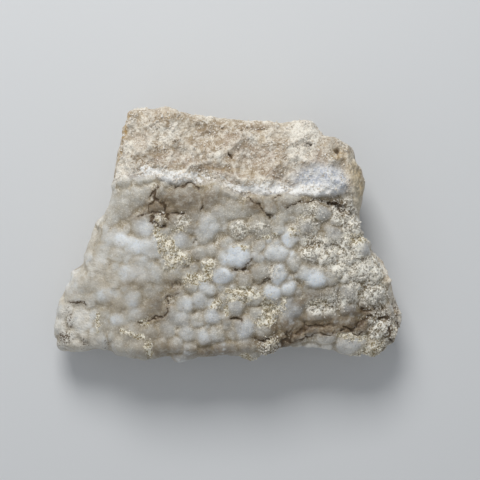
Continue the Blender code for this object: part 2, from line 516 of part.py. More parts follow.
def main():
    """Clears the scene and builds the stone in its own collection."""
    for leftover in list(bpy.data.objects):
        bpy.data.objects.remove(leftover)
    collection = bpy.data.collections.new("chalcedony")
    bpy.context.scene.collection.children.link(collection)
    data = thinned(fine_mesh(), TRIANGLES)
    data.name = "chalcedony_stone"
    fit_to_size(data)
    stone = bpy.data.objects.new("chalcedony_stone", data)
    collection.objects.link(stone)
    stone.data.materials.append(stone_material())
    stone.data.shade_smooth()
    stone.data.set_sharp_from_angle(angle=0.6)


main()
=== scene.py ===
"""Looks of the chalcedony specimen: its crust of waxy lumps, cream grit, sugary broken matrix, floor and light.

Sizes are in millimetres in the stone's own frame (+X right in plan, +Y towards the broken band, +Z up) and are
turned into metres when a mesh is written. The stone's skin is one closed surface, worked out with numpy as a
function of two parameters: a smooth stone first, and then relief along its normals.
"""

import logging
import math
from dataclasses import dataclass, field
from enum import Enum

import bpy
import mathutils
import numpy as np
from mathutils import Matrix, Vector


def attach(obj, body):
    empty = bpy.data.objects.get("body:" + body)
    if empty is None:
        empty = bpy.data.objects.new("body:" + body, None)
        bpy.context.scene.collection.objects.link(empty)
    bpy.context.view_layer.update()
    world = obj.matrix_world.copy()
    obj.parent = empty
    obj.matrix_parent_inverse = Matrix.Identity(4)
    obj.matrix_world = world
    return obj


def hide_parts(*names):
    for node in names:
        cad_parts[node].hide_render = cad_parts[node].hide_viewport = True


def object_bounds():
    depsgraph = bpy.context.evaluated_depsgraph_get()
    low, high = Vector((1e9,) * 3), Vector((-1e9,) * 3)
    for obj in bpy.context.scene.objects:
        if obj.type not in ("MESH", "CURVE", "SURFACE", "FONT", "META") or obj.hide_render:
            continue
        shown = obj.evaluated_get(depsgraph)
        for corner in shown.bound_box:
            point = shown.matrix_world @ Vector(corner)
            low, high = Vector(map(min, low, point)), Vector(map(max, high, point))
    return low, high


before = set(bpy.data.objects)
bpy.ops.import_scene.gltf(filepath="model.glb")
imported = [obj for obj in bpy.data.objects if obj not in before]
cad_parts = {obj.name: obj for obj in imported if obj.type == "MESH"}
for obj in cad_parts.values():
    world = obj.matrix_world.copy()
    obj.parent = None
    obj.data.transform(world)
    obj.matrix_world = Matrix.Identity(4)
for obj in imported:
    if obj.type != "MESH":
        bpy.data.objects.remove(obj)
CAD_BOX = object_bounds()
LOG = logging.getLogger("chalcedony")

MM = 0.001
NODE = "chalcedony_stone"
BODY = "root"

Points = np.ndarray
Rows = tuple[tuple[float, ...], ...]


# Number tools


def cell_random(cells: Points, salt: int) -> Points:
    """Gives a repeatable random number from -1 to 1 for each whole-number cell.

    Args:
        cells: whole-number (x, y, z) rows.
        salt: a number that picks one of many independent sets.

    Returns:
        One number for each row, from the cell's numbers mixed by multiplying and shifting.
    """
    x, y, z = (cells[..., axis].astype(np.int64) for axis in range(3))
    mixed = (x * 374761393 + y * 668265263 + z * 2147483629 + salt * 974634777) & 0xFFFFFFFF
    mixed = ((mixed ^ (mixed >> 13)) * 1274126177) & 0xFFFFFFFF
    return (mixed ^ (mixed >> 16)) / 0x7FFFFFFF - 1.0


def around() -> Points:
    """Offsets from a cell to itself and its 26 neighbours, as whole-number rows."""
    return np.array([(i, j, k) for i in (-1, 0, 1) for j in (-1, 0, 1) for k in (-1, 0, 1)])


def scallops(points: Points, cell: float, salt: int) -> Points:
    """Shell-like broken hollows with sharp ridges between them, about -0.4 to 0.4.

    The height is the lowest of tilted bowls, 0.45 tilt . away + 0.5 away squared, one for each seed in the
    cells around the point.

    Args:
        points: (x, y, z) rows in millimetres.
        cell: size of a cell, and so of a hollow, in millimetres.
        salt: which set of seeds.

    Returns:
        One height for each point.
    """
    at = points / cell
    home = np.floor(at)
    lowest = np.full(len(points), np.inf)
    for offset in around():
        other = home + offset
        jitter = np.stack([cell_random(other, salt + axis) for axis in range(3)], axis=1)
        tilt = np.stack([cell_random(other, salt + 3 + axis) for axis in range(3)], axis=1)
        away = at - (other + 0.5 + 0.35 * jitter)
        lowest = np.minimum(lowest, 0.45 * (tilt * away).sum(axis=1) + 0.5 * (away**2).sum(axis=1))
    return lowest - 0.12


def grains(points: Points, cell: float, salt: int) -> Points:
    """Packed grains: 1 at the middle of each grain, falling with distance to about 0 between grains.

    Args:
        points: (x, y, z) rows in millimetres.
        cell: size of a cell, and so of a grain, in millimetres.
        salt: which set of seeds.

    Returns:
        1 less the distance to the nearest seed, measured in cells, for each point.
    """
    at = points / cell
    home = np.floor(at)
    nearest = np.full(len(points), np.inf)
    for offset in around():
        other = home + offset
        jitter = np.stack([cell_random(other, salt + axis) for axis in range(3)], axis=1)
        nearest = np.minimum(nearest, ((at - (other + 0.5 + 0.4 * jitter)) ** 2).sum(axis=1))
    return 1 - np.sqrt(nearest)


def domes(points: Points, cell: float, salt: int, blend: float) -> tuple[Points, Points]:
    """Packed domes of unlike sizes, run together by a soft maximum.

    A dome's height is its size less the distance to its seed squared over its size, in cells.

    Args:
        points: (x, y, z) rows in millimetres.
        cell: size of a cell, and so of a dome, in millimetres.
        salt: which set of seeds.
        blend: how softly the domes run together, in cells.

    Returns:
        The height at each point, about 0.2 to 1, and the clouding there: a random strength of the highest dome,
        0 to 1, that fades with its height.
    """
    at = points / cell
    home = np.floor(at)
    total = np.full(len(points), 1e-9)
    cloud = np.zeros(len(points))
    for offset in around():
        other = home + offset
        jitter = np.stack([cell_random(other, salt + axis) for axis in range(3)], axis=1)
        size = 0.78 + 0.24 * cell_random(other, salt + 3)
        height = size - ((at - (other + 0.5 + 0.42 * jitter)) ** 2).sum(axis=1) / size
        weight = np.exp(np.clip(height, -1, None) / blend)
        total += weight
        cloud += weight * np.clip(height, 0, 1) * (0.5 + 0.5 * cell_random(other, salt + 4))
    return blend * np.log(total), cloud / total


def soft_noise(points: Points, cell: float, salt: int) -> Points:
    """Smooth noise, about -1 to 1: random numbers at the corners of cells, blended by a smooth step.

    Args:
        points: (x, y, z) rows in millimetres.
        cell: size of a cell in millimetres.
        salt: which set of numbers.

    Returns:
        One number for each point.
    """
    at = points / cell
    home = np.floor(at)
    part = at - home
    part = part * part * (3 - 2 * part)
    total = np.zeros(len(points))
    for corner in np.array([(i, j, k) for i in (0, 1) for j in (0, 1) for k in (0, 1)]):
        weight = np.where(corner, part, 1 - part).prod(axis=1)
        total += weight * cell_random(home + corner, salt)
    return total


def ridges(points: Points, cell: float, half: float, salt: int) -> Points:
    """Thin branching ridges: 1 along the lines where bent soft noise crosses 0, and 0 beyond a half width.

    Args:
        points: (x, y, z) rows in millimetres.
        cell: size of the net's meshes in millimetres.
        half: the noise's value at a ridge's foot.
        salt: which set of numbers.

    Returns:
        One height for each point, from 0 to 1.
    """
    bend = np.stack([soft_noise(points, 0.6 * cell, salt + 1 + axis) for axis in range(3)], axis=1)
    return 1 - np.clip(np.abs(soft_noise(points + 0.4 * cell * bend, cell, salt)) / half, 0, 1)


def smooth_step(value: Points, low: float, high: float) -> Points:
    """0 below low, 1 above high, and a smooth rise between."""
    t = np.clip((value - low) / (high - low), 0, 1)
    return t * t * (3 - 2 * t)


def blend_spots(plan: Points, spots: Rows, reach: float) -> Points:
    """Blends values given at spots by a bell-shaped weight of the distance to each.

    Args:
        plan: (x, y) rows.
        spots: rows of x, y and the values there.
        reach: how far a spot's value carries.

    Returns:
        One row of values for each plan point.
    """
    table = np.array(spots, float)
    away = ((plan[:, None, :] - table[None, :, :2]) ** 2).sum(axis=2)
    weight = np.exp(-(away - away.min(axis=1, keepdims=True)) / (2 * reach**2))
    return weight @ table[:, 2:] / weight.sum(axis=1, keepdims=True)


def patches(plan: Points, spots: Rows) -> Points:
    """Adds up soft oval patches and stops at 1.

    Args:
        plan: (x, y) rows.
        spots: rows of x, y, reach along X, reach along Y, turn in degrees and strength.

    Returns:
        For each plan point the sum of strength times a bell of the turned distance, at most 1.
    """
    total = np.zeros(len(plan))
    for x, y, reach_x, reach_y, turn, strength in spots:
        angle = math.radians(turn)
        dx, dy = plan[:, 0] - x, plan[:, 1] - y
        along = (dx * math.cos(angle) + dy * math.sin(angle)) / reach_x
        aside = (dy * math.cos(angle) - dx * math.sin(angle)) / reach_y
        total += strength * np.exp(-((along**2 + aside**2) ** 1.5))
    return np.clip(total, 0, 1)


def distance_to_path(plan: Points, path: Points) -> Points:
    """Distance from each plan point to an open path of straight runs."""
    nearest = np.full(len(plan), np.inf)
    for start, end in zip(path[:-1], path[1:]):
        run = end - start
        along = np.clip((plan - start) @ run / (run @ run), 0, 1)
        nearest = np.minimum(nearest, np.hypot(*(plan - start - along[:, None] * run).T))
    return nearest


def closed(loop: Points) -> Points:
    """Every third point of a loop, with the first again at the end."""
    return np.vstack([loop[::3], loop[:1]])


# The smooth stone


@dataclass(frozen=True)
class Outline:
    """The stone's outline seen from above, as four sides through points read at its outer edge, clockwise."""

    skin: float = 0.45  # how far the relief stands out of the drawn-in outline
    per_side: int = 240
    back: Rows = (
        (-29.9, 32.6), (-28.6, 35.4), (-24.0, 36.6), (-20.0, 35.9), (-12.0, 34.0), (-4.5, 34.2), (-0.9, 33.2),
        (9.7, 32.7), (22.7, 31.7), (24.0, 30.4), (24.9, 28.4), (32.0, 27.1), (34.8, 26.0), (35.9, 23.8),
    )
    right: Rows = (
        (35.9, 23.8), (39.4, 16.3), (38.3, 8.6), (38.3, 3.7), (39.8, -1.2), (43.4, -5.7), (47.1, -11.4),
        (48.4, -18.6), (50.4, -24.3), (49.0, -29.0), (47.4, -31.0),
    )
    front: Rows = (
        (47.4, -31.0), (44.4, -32.0), (43.2, -34.1), (35.4, -34.6), (28.0, -32.8), (18.9, -31.9), (14.9, -32.3),
        (8.6, -35.0), (2.3, -34.9), (-2.9, -34.1), (-9.1, -35.1), (-13.7, -36.4), (-18.5, -34.8), (-23.1, -35.7),
        (-30.9, -34.9), (-34.0, -33.7), (-38.9, -33.4), (-44.6, -34.3), (-48.4, -33.2), (-50.0, -31.0),
    )
    left: Rows = (
        (-50.0, -31.0), (-50.7, -27.6), (-50.3, -23.7), (-49.2, -18.6), (-47.3, -15.0), (-45.7, -12.2),
        (-45.1, -9.2), (-42.6, -8.6), (-41.4, -5.0), (-39.1, 0.3), (-38.7, 3.8), (-35.7, 6.1), (-33.6, 11.0),
        (-33.7, 15.7), (-33.0, 21.0), (-29.9, 32.6),
    )

    def side(self, points: Rows) -> Points:
        """A smooth curve through a side's points (Catmull-Rom), as evenly spaced places on it."""
        own = np.array(points, float)
        padded = np.vstack([2 * own[0] - own[1], own, 2 * own[-1] - own[-2]])
        t = np.linspace(0, 1, 12, endpoint=False)[:, None]
        runs = [
            0.5 * (2 * b + (c - a) * t + (2 * a - 5 * b + 4 * c - d) * t**2 + (3 * b - a - 3 * c + d) * t**3)
            for a, b, c, d in zip(padded, padded[1:], padded[2:], padded[3:])
        ]
        line = np.vstack([*runs, own[-1:]])
        length = np.concatenate([[0], np.hypot(*np.diff(line, axis=0).T).cumsum()])
        even = np.linspace(0, length[-1], self.per_side + 1)
        return np.stack([np.interp(even, length, line[:, axis]) for axis in range(2)], axis=1)

    @staticmethod
    def inward(loop: Points) -> Points:
        """Unit directions into a clockwise closed loop, one for each of its points."""
        ahead = np.roll(loop, -2, axis=0) - np.roll(loop, 2, axis=0)
        return np.stack([ahead[:, 1], -ahead[:, 0]], axis=1) / np.hypot(*ahead.T)[:, None]

    def loop(self) -> Points:
        """The outline as a clockwise closed loop, drawn in by the skin."""
        whole = np.vstack([self.side(side)[:-1] for side in (self.back, self.right, self.front, self.left)])
        return whole + self.skin * self.inward(whole)

    @staticmethod
    def sides(loop: Points) -> tuple[Points, Points, Points, Points]:
        """A loop's back and front from left to right, and its left and right from front to back."""
        run = len(loop) // 4
        whole = np.vstack([loop, loop[:1]])
        back, right, front, left = (whole[i * run : (i + 1) * run + 1] for i in range(4))
        return back, right[::-1], front[::-1], left

    @staticmethod
    def patch(loop: Points, across: Points, up: Points) -> Points:
        """Fills a loop with a surface of two parameters.

        The surface is the Coons patch: the mean of the two ruled surfaces between opposite sides, less the
        bilinear surface of the four corners.

        Args:
            loop: the closed loop, with a quarter of its points on each side.
            across: the parameter along X, 0 to 1.
            up: the parameter along Y, 0 to 1.

        Returns:
            One (x, y) row for each pair of parameters.
        """
        back, right, front, left = Outline.sides(loop)
        steps = len(back) - 1

        def on(side: Points, share: Points) -> Points:
            """Places on a side at these shares of it."""
            place = np.clip(share, 0, 1) * steps
            low = np.minimum(place.astype(int), steps - 1)
            return side[low] + (place - low)[:, None] * (side[low + 1] - side[low])

        s, t = across[:, None], up[:, None]
        corners = (1 - s) * ((1 - t) * front[0] + t * back[0]) + s * ((1 - t) * front[-1] + t * back[-1])
        ruled = (1 - t) * on(front, across) + t * on(back, across) + (1 - s) * on(left, up) + s * on(right, up)
        return ruled - corners


@dataclass(frozen=True)
class SmoothStone:
    """The stone before its relief: top levels, a belt where it is widest, and an arched underside."""

    outline: Outline = field(default_factory=Outline)
    top_reach: float = 7.5
    belt_reach: float = 7.0
    arch_height: float = 4.5
    arch_reach: float = 11.0
    wall_bulge: float = 1.35
    edge_crowding: float = 0.28
    foot_reach: int = 28  # places of the outline that a place of the foot is averaged over, to each side
    # Spots of the top: x, y, height
    top: Rows = (
        (-28, 33, 22.5), (-10, 33, 24), (8, 31, 25), (22, 28, 24.5), (33, 23, 22),
        (-31, 18, 24), (-14, 17, 27), (4, 15, 28), (20, 15, 28), (32, 14, 26),
        (-35, 2, 22), (-21, 2, 25), (-4, 3, 26), (12, 2, 27), (26, 2, 27), (35, 1, 24),
        (-43, -12, 19), (-28, -11, 25.5), (-13, -11, 24), (3, -12, 25), (19, -10, 26.5), (33, -11, 25),
        (44, -13, 20), (-47, -27, 14), (-35, -25, 21), (-20, -26, 22), (-4, -27, 22.5), (11, -26, 22),
        (24, -25, 21), (36, -26, 19.5), (46, -26, 15),
    )
    # Spots of the belt: x, y, height, edge radius above it, undercut below it
    belt: Rows = (
        (-30, 34, 15, 2.6, 5), (-10, 34, 17, 2.2, 5), (10, 32, 17, 2.2, 5), (24, 31, 17, 2.4, 5),
        (35, 25, 14, 3.2, 5), (39, 15, 11, 5.5, 4), (38, 4, 11, 5.0, 4), (43, -6, 10, 5.5, 5),
        (48, -17, 9, 6.0, 5), (50, -26, 8, 5.0, 6), (44, -34, 10, 4.2, 10), (30, -33, 12, 3.6, 14),
        (16, -32, 12, 3.8, 15), (3, -35, 12, 5.0, 15), (-13, -36, 12, 5.0, 14), (-29, -35, 10, 5.0, 11),
        (-44, -34, 7, 5.0, 7), (-50, -30, 6, 5.5, 5), (-50, -21, 7, 5.5, 5), (-45, -11, 9, 5.0, 6),
        (-39, 1, 12, 4.4, 6), (-34, 12, 13, 4.0, 5), (-32, 24, 14, 3.0, 5),
    )

    def feet(self, loop: Points) -> Points:
        """The foot's edge: the outline averaged along itself, and moved to the middle line by its undercut."""
        steps = range(-self.foot_reach, self.foot_reach + 1, 4)
        even = sum(np.roll(loop, step, axis=0) for step in steps) / len(steps)
        undercut = blend_spots(loop, self.belt, self.belt_reach)[:, 2:]
        toward = even * (0.45, 0.1) - even
        return even + toward / np.hypot(*toward.T)[:, None] * undercut

    def height(self, plan: Points) -> Points:
        """Height of the top: the top levels, rounded down to the belt by an ellipse at the outline."""
        belt, edge, _ = blend_spots(plan, self.belt, self.belt_reach).T
        inside = np.clip(distance_to_path(plan, closed(self.outline.loop())) / edge, 0, 1)
        level = blend_spots(plan, self.top, self.top_reach)[:, 0]
        return belt + (level - belt) * np.sqrt(1 - (1 - inside) ** 2)

    def crowd(self, share: Points) -> Points:
        """Shares from 0 to 1 moved towards the nearer end, so that even steps lie closer there."""
        return share - self.edge_crowding * np.sin(2 * np.pi * share) / (2 * np.pi)

    def top_surface(self, across: Points, up: Points) -> Points:
        """The top over the patch inside the outline, at its height."""
        plan = Outline.patch(self.outline.loop(), self.crowd(across), self.crowd(up))
        return np.column_stack([plan, self.height(plan)])

    def wall_surface(self, across: Points, up: Points, down: Points) -> Points:
        """The wall and the underside's edge: the outline's belt carried down to the foot.

        Args:
            across: the parameter along X, 0 to 1.
            up: the parameter along Y, 0 to 1.
            down: 0 at the belt to 1 at the foot.

        Returns:
            The straight blend of belt and foot in height, and of their plans by down to the power of the bulge.
        """
        loop = self.outline.loop()
        feet = self.feet(loop)
        s, t = self.crowd(across), self.crowd(up)
        wide, foot = Outline.patch(loop, s, t), Outline.patch(feet, s, t)
        belt = blend_spots(wide, self.belt, self.belt_reach)[:, 0]
        inside = np.clip(distance_to_path(foot, closed(feet)) / self.arch_reach, 0, 1)
        arch = self.arch_height * (1 - inside) ** 2
        plan = wide + (foot - wide) * (down**self.wall_bulge)[:, None]
        return np.column_stack([plan, belt + (arch - belt) * down])


# Relief


class Cover(Enum):
    """What a patch of the stone is covered or coloured with."""

    MILK = "milk"
    WARM = "warm"
    CREAM = "cream"
    GRIT = "grit"
    PALE = "pale"
    QUARTZ = "quartz"
    ROSE = "rose"
    OCHRE = "ochre"
    STAIN_AND_SHADE = "stain_and_shade"
    SPECKS = "specks"
    PAINTED_SHADE = "painted_shade"
    FROST = "frost"
    BARE = "bare"


# Patches of each cover: x, y, reach along X, reach along Y, turn in degrees, strength
COVER: dict[Cover, Rows] = {
    # Milk patches: where the middles of the lumps get a painted glow
    Cover.MILK: (
        (1.4, -6.8, 3.6, 3.0, 0, 1.0), (12.4, -7.0, 3.0, 3.0, 0, 0.8), (-5.6, -13.2, 3.0, 2.4, 0, 0.8),
        (-32.9, -1.2, 3.4, 3.0, 0, 0.8), (-29.9, -1.0, 2.2, 2.0, 0, 0.9), (-26.6, -3.2, 3.0, 2.6, 0, 0.5),
        (-22.2, -3.4, 3.8, 3.4, 0, 1.0), (-23.1, 2.3, 3.4, 3.0, 0, 0.6), (-38.3, -6.9, 2.2, 2.0, 0, 0.5),
        (-35.6, -7.7, 2.2, 2.2, 0, 0.5), (-27.7, -10.6, 3.2, 2.8, 0, 0.9), (-24.2, -11.2, 2.6, 2.6, 0, 0.8),
        (-20.3, -10.4, 2.4, 2.2, 0, 0.5), (-34.0, -16.2, 2.6, 2.4, 0, 1.0), (-26.9, -18.0, 2.4, 2.2, 0, 0.9),
        (-44.0, -13.6, 4.0, 3.4, 0, 0.6), (-40.4, -23.6, 3.4, 3.6, 0, 0.8), (-48.2, -21.0, 2.2, 3.2, 0, 0.6),
        (-31.1, -23.1, 2.2, 2.0, 0, 0.6), (-25.7, -21.7, 2.4, 2.0, 0, 0.5), (-35.6, -30.0, 2.8, 2.8, 0, 0.5),
        (-13.2, -1.5, 2.2, 2.2, 0, 0.5), (-5.1, 2.7, 4.0, 3.4, 0, 0.5), (-1.4, -11.2, 2.6, 2.4, 0, 1.0),
        (2.9, -5.7, 3.8, 3.4, -30, 0.9), (-8.0, -18.0, 3.0, 2.8, 0, 0.8), (-12.3, -19.4, 2.8, 2.8, 0, 0.6),
        (-4.6, -22.4, 2.4, 2.2, 0, 0.9), (4.2, -25.6, 3.0, 2.8, 0, 1.0), (12.0, -15.6, 2.8, 2.6, 0, 0.8),
        (13.0, -4.0, 4.0, 3.8, 0, 0.8), (16.4, -1.6, 2.6, 3.4, 0, 0.9), (21.6, -10.6, 2.8, 1.8, 20, 1.0),
        (24.6, -12.2, 3.0, 1.8, 25, 1.0), (13.6, -11.4, 2.8, 2.6, 0, 0.7), (17.0, -13.4, 2.6, 2.4, 0, 0.7),
        (-6.0, -14.6, 2.2, 1.8, 0, 0.9), (-6.6, -29.0, 3.0, 2.6, 0, 0.5), (-12.0, -27.4, 2.6, 2.4, 0, 0.5),
        (-13.0, -33.0, 3.0, 2.6, 0, 0.6), (-1.8, -31.6, 2.4, 2.4, 0, 0.6), (17.3, -20.6, 3.8, 4.4, 0, 0.5),
        (36.4, -4.0, 2.2, 2.0, 0, 0.5), (33.0, -20.4, 2.2, 2.0, 0, 0.5), (40.2, -16.2, 2.6, 2.2, 0, 0.7),
        (-14.6, -23.4, 3.0, 2.6, 0, 0.25), (-16.6, -27.0, 2.6, 2.4, 0, 0.3), (-8.8, -26.0, 2.6, 2.2, 0, 0.3),
        (25.6, 6.0, 2.4, 2.2, 0, 0.4), (44.0, -23.4, 1.6, 4.4, -10, 0.6), (35.6, -31.0, 5.0, 2.2, 0, 0.4),
    ),
    Cover.WARM: (
        (-12.0, 8.6, 6.0, 3.6, 0, 0.8), (-20.0, 7.6, 2.4, 2.2, 0, 1.0), (-30.0, 3.0, 8.0, 2.0, 28, 0.8),
        (8.0, 6.6, 3.4, 3.0, 0, 0.8), (-6.0, 6.6, 5.0, 2.4, 0, 0.5), (4.6, -12.4, 3.0, 2.2, 0, 0.9),
        (8.3, -3.4, 2.0, 2.4, 0, 0.7), (-19.6, -19.0, 5.0, 3.4, 20, 0.8), (-28.0, -14.0, 6.0, 1.8, 0, 0.5),
        (-30.0, -20.4, 4.0, 1.6, 0, 0.6), (19.4, 5.0, 3.0, 2.4, 0, 0.5), (24.0, -16.6, 5.0, 2.2, 0, 0.7),
        (23.0, -26.6, 9.0, 2.6, 5, 0.8), (-38.0, -11.6, 4.0, 2.4, -30, 0.5), (9.4, -27.6, 2.4, 1.8, 0, 0.7),
        (4.8, -30.4, 2.4, 2.0, 0, 0.7), (36.0, -22.0, 4.0, 2.4, 0, 0.5), (-16.0, -13.8, 3.0, 2.0, 0, 0.9),
        (-41.0, -31.0, 5.0, 1.8, 0, 0.6), (-2.0, -3.2, 4.0, 2.0, 0, 0.5), (27.0, 2.4, 3.6, 2.0, 0, 0.5),
        (35.8, 14.8, 2.9, 8.0, 0, 1.1), (36.0, 5.4, 1.8, 4.0, 0, 0.4), (-22.0, -21.0, 4.0, 3.0, 0, 0.4),
        (-25.5, -31.0, 3.4, 2.6, 0, 0.4), (-26.3, -26.4, 3.4, 2.4, 0, 0.4), (33.0, -27.4, 6.0, 1.6, 5, 0.8),
    ),
    Cover.CREAM: (
        (-15.8, -3.4, 1.7, 3.2, 20, 0.9), (-16.0, -7.6, 2.4, 2.4, 0, 1.0), (-19.2, 4.6, 2.2, 2.0, 0, 0.5),
        (-13.6, 1.6, 2.6, 0.9, 0, 0.7), (-10.2, -12.2, 2.4, 2.0, 0, 0.9), (-11.6, -7.0, 1.9, 1.7, 0, 0.5),
        (-5.6, -8.2, 1.9, 1.7, 0, 1.0), (-6.2, -11.4, 2.0, 1.4, 0, 0.8), (3.8, -16.2, 5.4, 2.2, 0, 1.0),
        (-19.2, 0.2, 1.6, 2.6, 10, 0.65), (-13.2, -5.2, 2.4, 1.2, -20, 0.6), (-18.2, -3.8, 1.4, 2.2, 0, 0.7),
        (-3.4, -19.0, 2.0, 1.2, 25, 0.9), (-0.8, -20.8, 0.8, 1.6, 0, 0.9), (11.0, -20.8, 2.4, 3.2, 0, 1.0),
        (9.4, -23.8, 2.6, 1.6, 0, 0.7), (11.6, -29.6, 1.8, 1.6, 0, 0.9), (-36.4, -24.0, 0.8, 2.8, 0, 0.8),
        (-23.5, -24.2, 2.0, 0.9, -15, 0.8), (-29.4, -26.4, 0.9, 0.8, 0, 0.9), (-27.3, -26.8, 1.2, 0.8, 0, 0.9),
        (-24.9, -27.8, 1.8, 0.9, 0, 0.8), (-22.2, -31.4, 1.3, 2.4, 0, 0.8), (4.4, -33.6, 2.6, 1.1, 0, 1.0),
        (10.4, -32.6, 1.6, 1.0, 0, 0.7), (15.0, -19.4, 1.0, 2.8, 0, 0.7), (24.6, -18.8, 4.0, 1.1, 0, 0.7),
        (35.0, -1.2, 2.6, 2.0, 0, 0.6), (33.6, -27.9, 4.8, 0.8, -4, 1.0), (41.4, -31.2, 3.4, 2.2, 0, 0.8),
        (39.4, -32.6, 5.0, 1.3, 0, 1.0), (35.2, -29.0, 3.4, 0.9, -12, 0.9), (3.6, -3.2, 2.8, 1.4, 0, 0.5),
        (46.8, -25.0, 1.4, 4.4, 0, 0.6), (10.6, -0.4, 3.0, 1.2, 10, 0.5), (20.6, 4.6, 2.2, 1.6, 0, 0.5),
        (-46.4, -10.6, 2.0, 1.2, 0, 0.3), (17.8, 0.9, 1.9, 1.5, 0, 0.8), (36.6, -1.2, 2.6, 1.1, -25, 0.8),
    ),
    Cover.GRIT: (
        (25.0, 6.6, 4.6, 2.6, 0, 0.8), (33.0, 4.6, 4.0, 5.0, 0, 1.0), (29.6, -4.4, 6.6, 4.4, 0, 1.0),
        (36.0, -9.4, 6.4, 5.4, 0, 1.0), (40.6, -16.0, 4.2, 4.0, 0, 0.65), (31.0, -18.0, 5.0, 3.4, 0, 0.7),
        (42.0, -25.6, 4.6, 5.4, 0, 0.6), (23.0, -4.0, 3.6, 3.6, 0, 0.8), (2.9, 1.4, 2.8, 2.6, 0, 0.7),
        (8.9, 2.2, 2.4, 2.4, 0, 0.4), (20.8, 1.8, 3.2, 2.6, 0, 0.7), (-12.4, 3.8, 2.4, 2.2, 0, 0.5),
        (12.0, -9.6, 2.6, 2.6, 0, 0.4), (24.0, -19.6, 4.4, 2.6, 0, 0.6), (11.0, -30.6, 3.4, 2.6, 0, 0.7),
    ),
    Cover.PALE: (
        (-30.8, 18.4, 2.6, 7.4, 0, 0.9), (-28.4, 20.4, 2.4, 6.6, 0, 0.8), (20.4, 26.6, 4.0, 4.2, 0, 0.8),
        (17.8, 21.2, 2.0, 2.4, 0, 0.7), (-16.3, 27.1, 3.0, 3.0, 0, 0.6),
        (-27.2, 30.6, 2.6, 3.4, 0, 0.6), (-14.2, 15.6, 4.4, 1.9, 12, 1.0),
        (-21.4, 15.4, 2.8, 0.8, -35, 0.9), (-2.8, 13.4, 2.4, 1.6, -30, 0.8), (0.0, 11.4, 2.6, 0.8, -40, 0.9),
        (20.6, 28.6, 3.6, 3.6, 0, 0.9), (19.0, 22.4, 4.0, 2.6, 0, 0.7), (36.0, 21.0, 1.4, 3.6, 24, 0.9),
        (35.4, 9.8, 2.2, 6.0, 0, 1.0), (36.4, -1.6, 2.2, 3.2, 0, 0.8), (42.0, -5.6, 1.8, 5.0, 30, 0.9),
        (45.6, -13.6, 1.8, 4.6, 20, 0.8), (48.0, -21.6, 1.2, 5.6, 12, 0.7),
        (-14.2, 29.6, 2.0, 2.0, 0, 0.6), (6.4, 26.2, 2.2, 1.6, 0, 0.6),
        (9.4, 13.4, 4.4, 2.4, 5, 0.8), (30.6, 26.0, 3.4, 1.6, -12, 0.6), (-4.0, 21.6, 3.6, 2.0, 0, 0.4),
        # The thin patches along the back edge, at y 32 to 36, are a painted highlight where light catches the rim
        (-9.0, 33.6, 6.0, 0.8, -4, 0.7), (10.0, 32.2, 10.0, 0.7, -4, 0.6), (-26.0, 35.6, 4.0, 0.8, 0, 0.6),
        (-36.6, 4.0, 1.6, 3.6, -25, 0.9), (39.0, 12.0, 0.7, 6.0, 0, 0.6), (47.4, -12.4, 0.8, 5.4, 0, 0.4),
    ),
    Cover.QUARTZ: (
        (24.4, 14.6, 6.8, 4.0, 0, 1.4), (30.0, 13.0, 1.7, 4.0, 0, 1.3), (-23.6, 13.0, 5.4, 3.0, -12, 0.6),
        (12.6, 11.4, 5.4, 2.0, 0, 0.7), (-5.0, 12.8, 3.4, 1.4, 0, 0.5), (25.2, 7.2, 1.8, 1.0, 0, 0.7),
    ),
    Cover.ROSE: (
        (-24.0, 26.4, 2.6, 3.4, 20, 0.7), (-17.6, 20.2, 6.0, 2.2, 8, 0.8), (-5.6, 18.2, 6.4, 1.7, -8, 0.8),
        (-1.0, 16.2, 3.0, 2.4, -40, 0.7), (1.2, 15.6, 3.0, 1.8, 0, 0.9), (7.2, 21.6, 5.4, 3.4, 0, 0.8), (8.4, 30.2, 3.6, 2.0, 0, 0.6),
        (12.4, 16.0, 3.4, 2.0, -10, 0.9), (-10.8, 19.8, 2.6, 2.0, 0, 0.6), (-19.0, 33.0, 4.4, 1.2, -12, 0.5), (33.2, 12.0, 0.9, 4.0, 0, 0.4),
        (-10.0, 24.0, 6.0, 4.0, 0, 0.3), (0.8, 26.0, 3.6, 3.6, 0, 0.8), (23.7, 21.2, 2.6, 2.4, 0, 1.0), (12.2, 21.4, 2.6, 2.6, 0, 0.6),
    ),
    Cover.OCHRE: (
        (-30.7, 27.4, 1.7, 7.6, -15, 2.4), (-29.4, 33.2, 1.2, 1.8, -10, 0.9), (36.6, 15.0, 1.4, 4.4, 0, 0.5), (38.0, 9.0, 0.5, 4.4, 0, 0.5),
        (29.8, 21.8, 2.8, 2.0, 0, 0.7), (6.8, 10.0, 2.6, 1.0, -25, 0.7), (-1.4, 17.8, 5.4, 0.9, -8, 0.5),
        (-16.0, -5.6, 1.8, 1.8, 0, 0.6), (6.0, -16.4, 2.4, 1.4, 0, 0.5), (42.6, -5.4, 1.2, 4.0, 32, 0.5),
        (46.4, -14.0, 1.0, 4.0, 18, 0.5), (-16.0, 31.6, 4.6, 1.0, -14, 0.4),
    ),
    # Brown stains; the two patches by the front edge, at (14.6, -28.0) and (12.4, -30.4), are painted shadow under the
    # overhang
    Cover.STAIN_AND_SHADE: (
        (-14.2, -14.0, 2.6, 1.6, 0, 0.8), (29.6, 8.2, 2.0, 2.0, 0, 1.0), (33.6, 5.4, 2.2, 1.6, 0, 0.6),
        (30.0, -25.4, 10.0, 1.3, 2, 0.8), (40.2, -20.8, 3.0, 1.2, 8, 0.8), (44.0, -27.4, 0.9, 3.4, -6, 0.8),
        (47.4, -29.4, 1.6, 0.9, 0, 1.0), (48.0, -18.0, 0.8, 5.4, 14, 0.5), (17.4, -27.6, 3.0, 1.8, 0, 0.6),
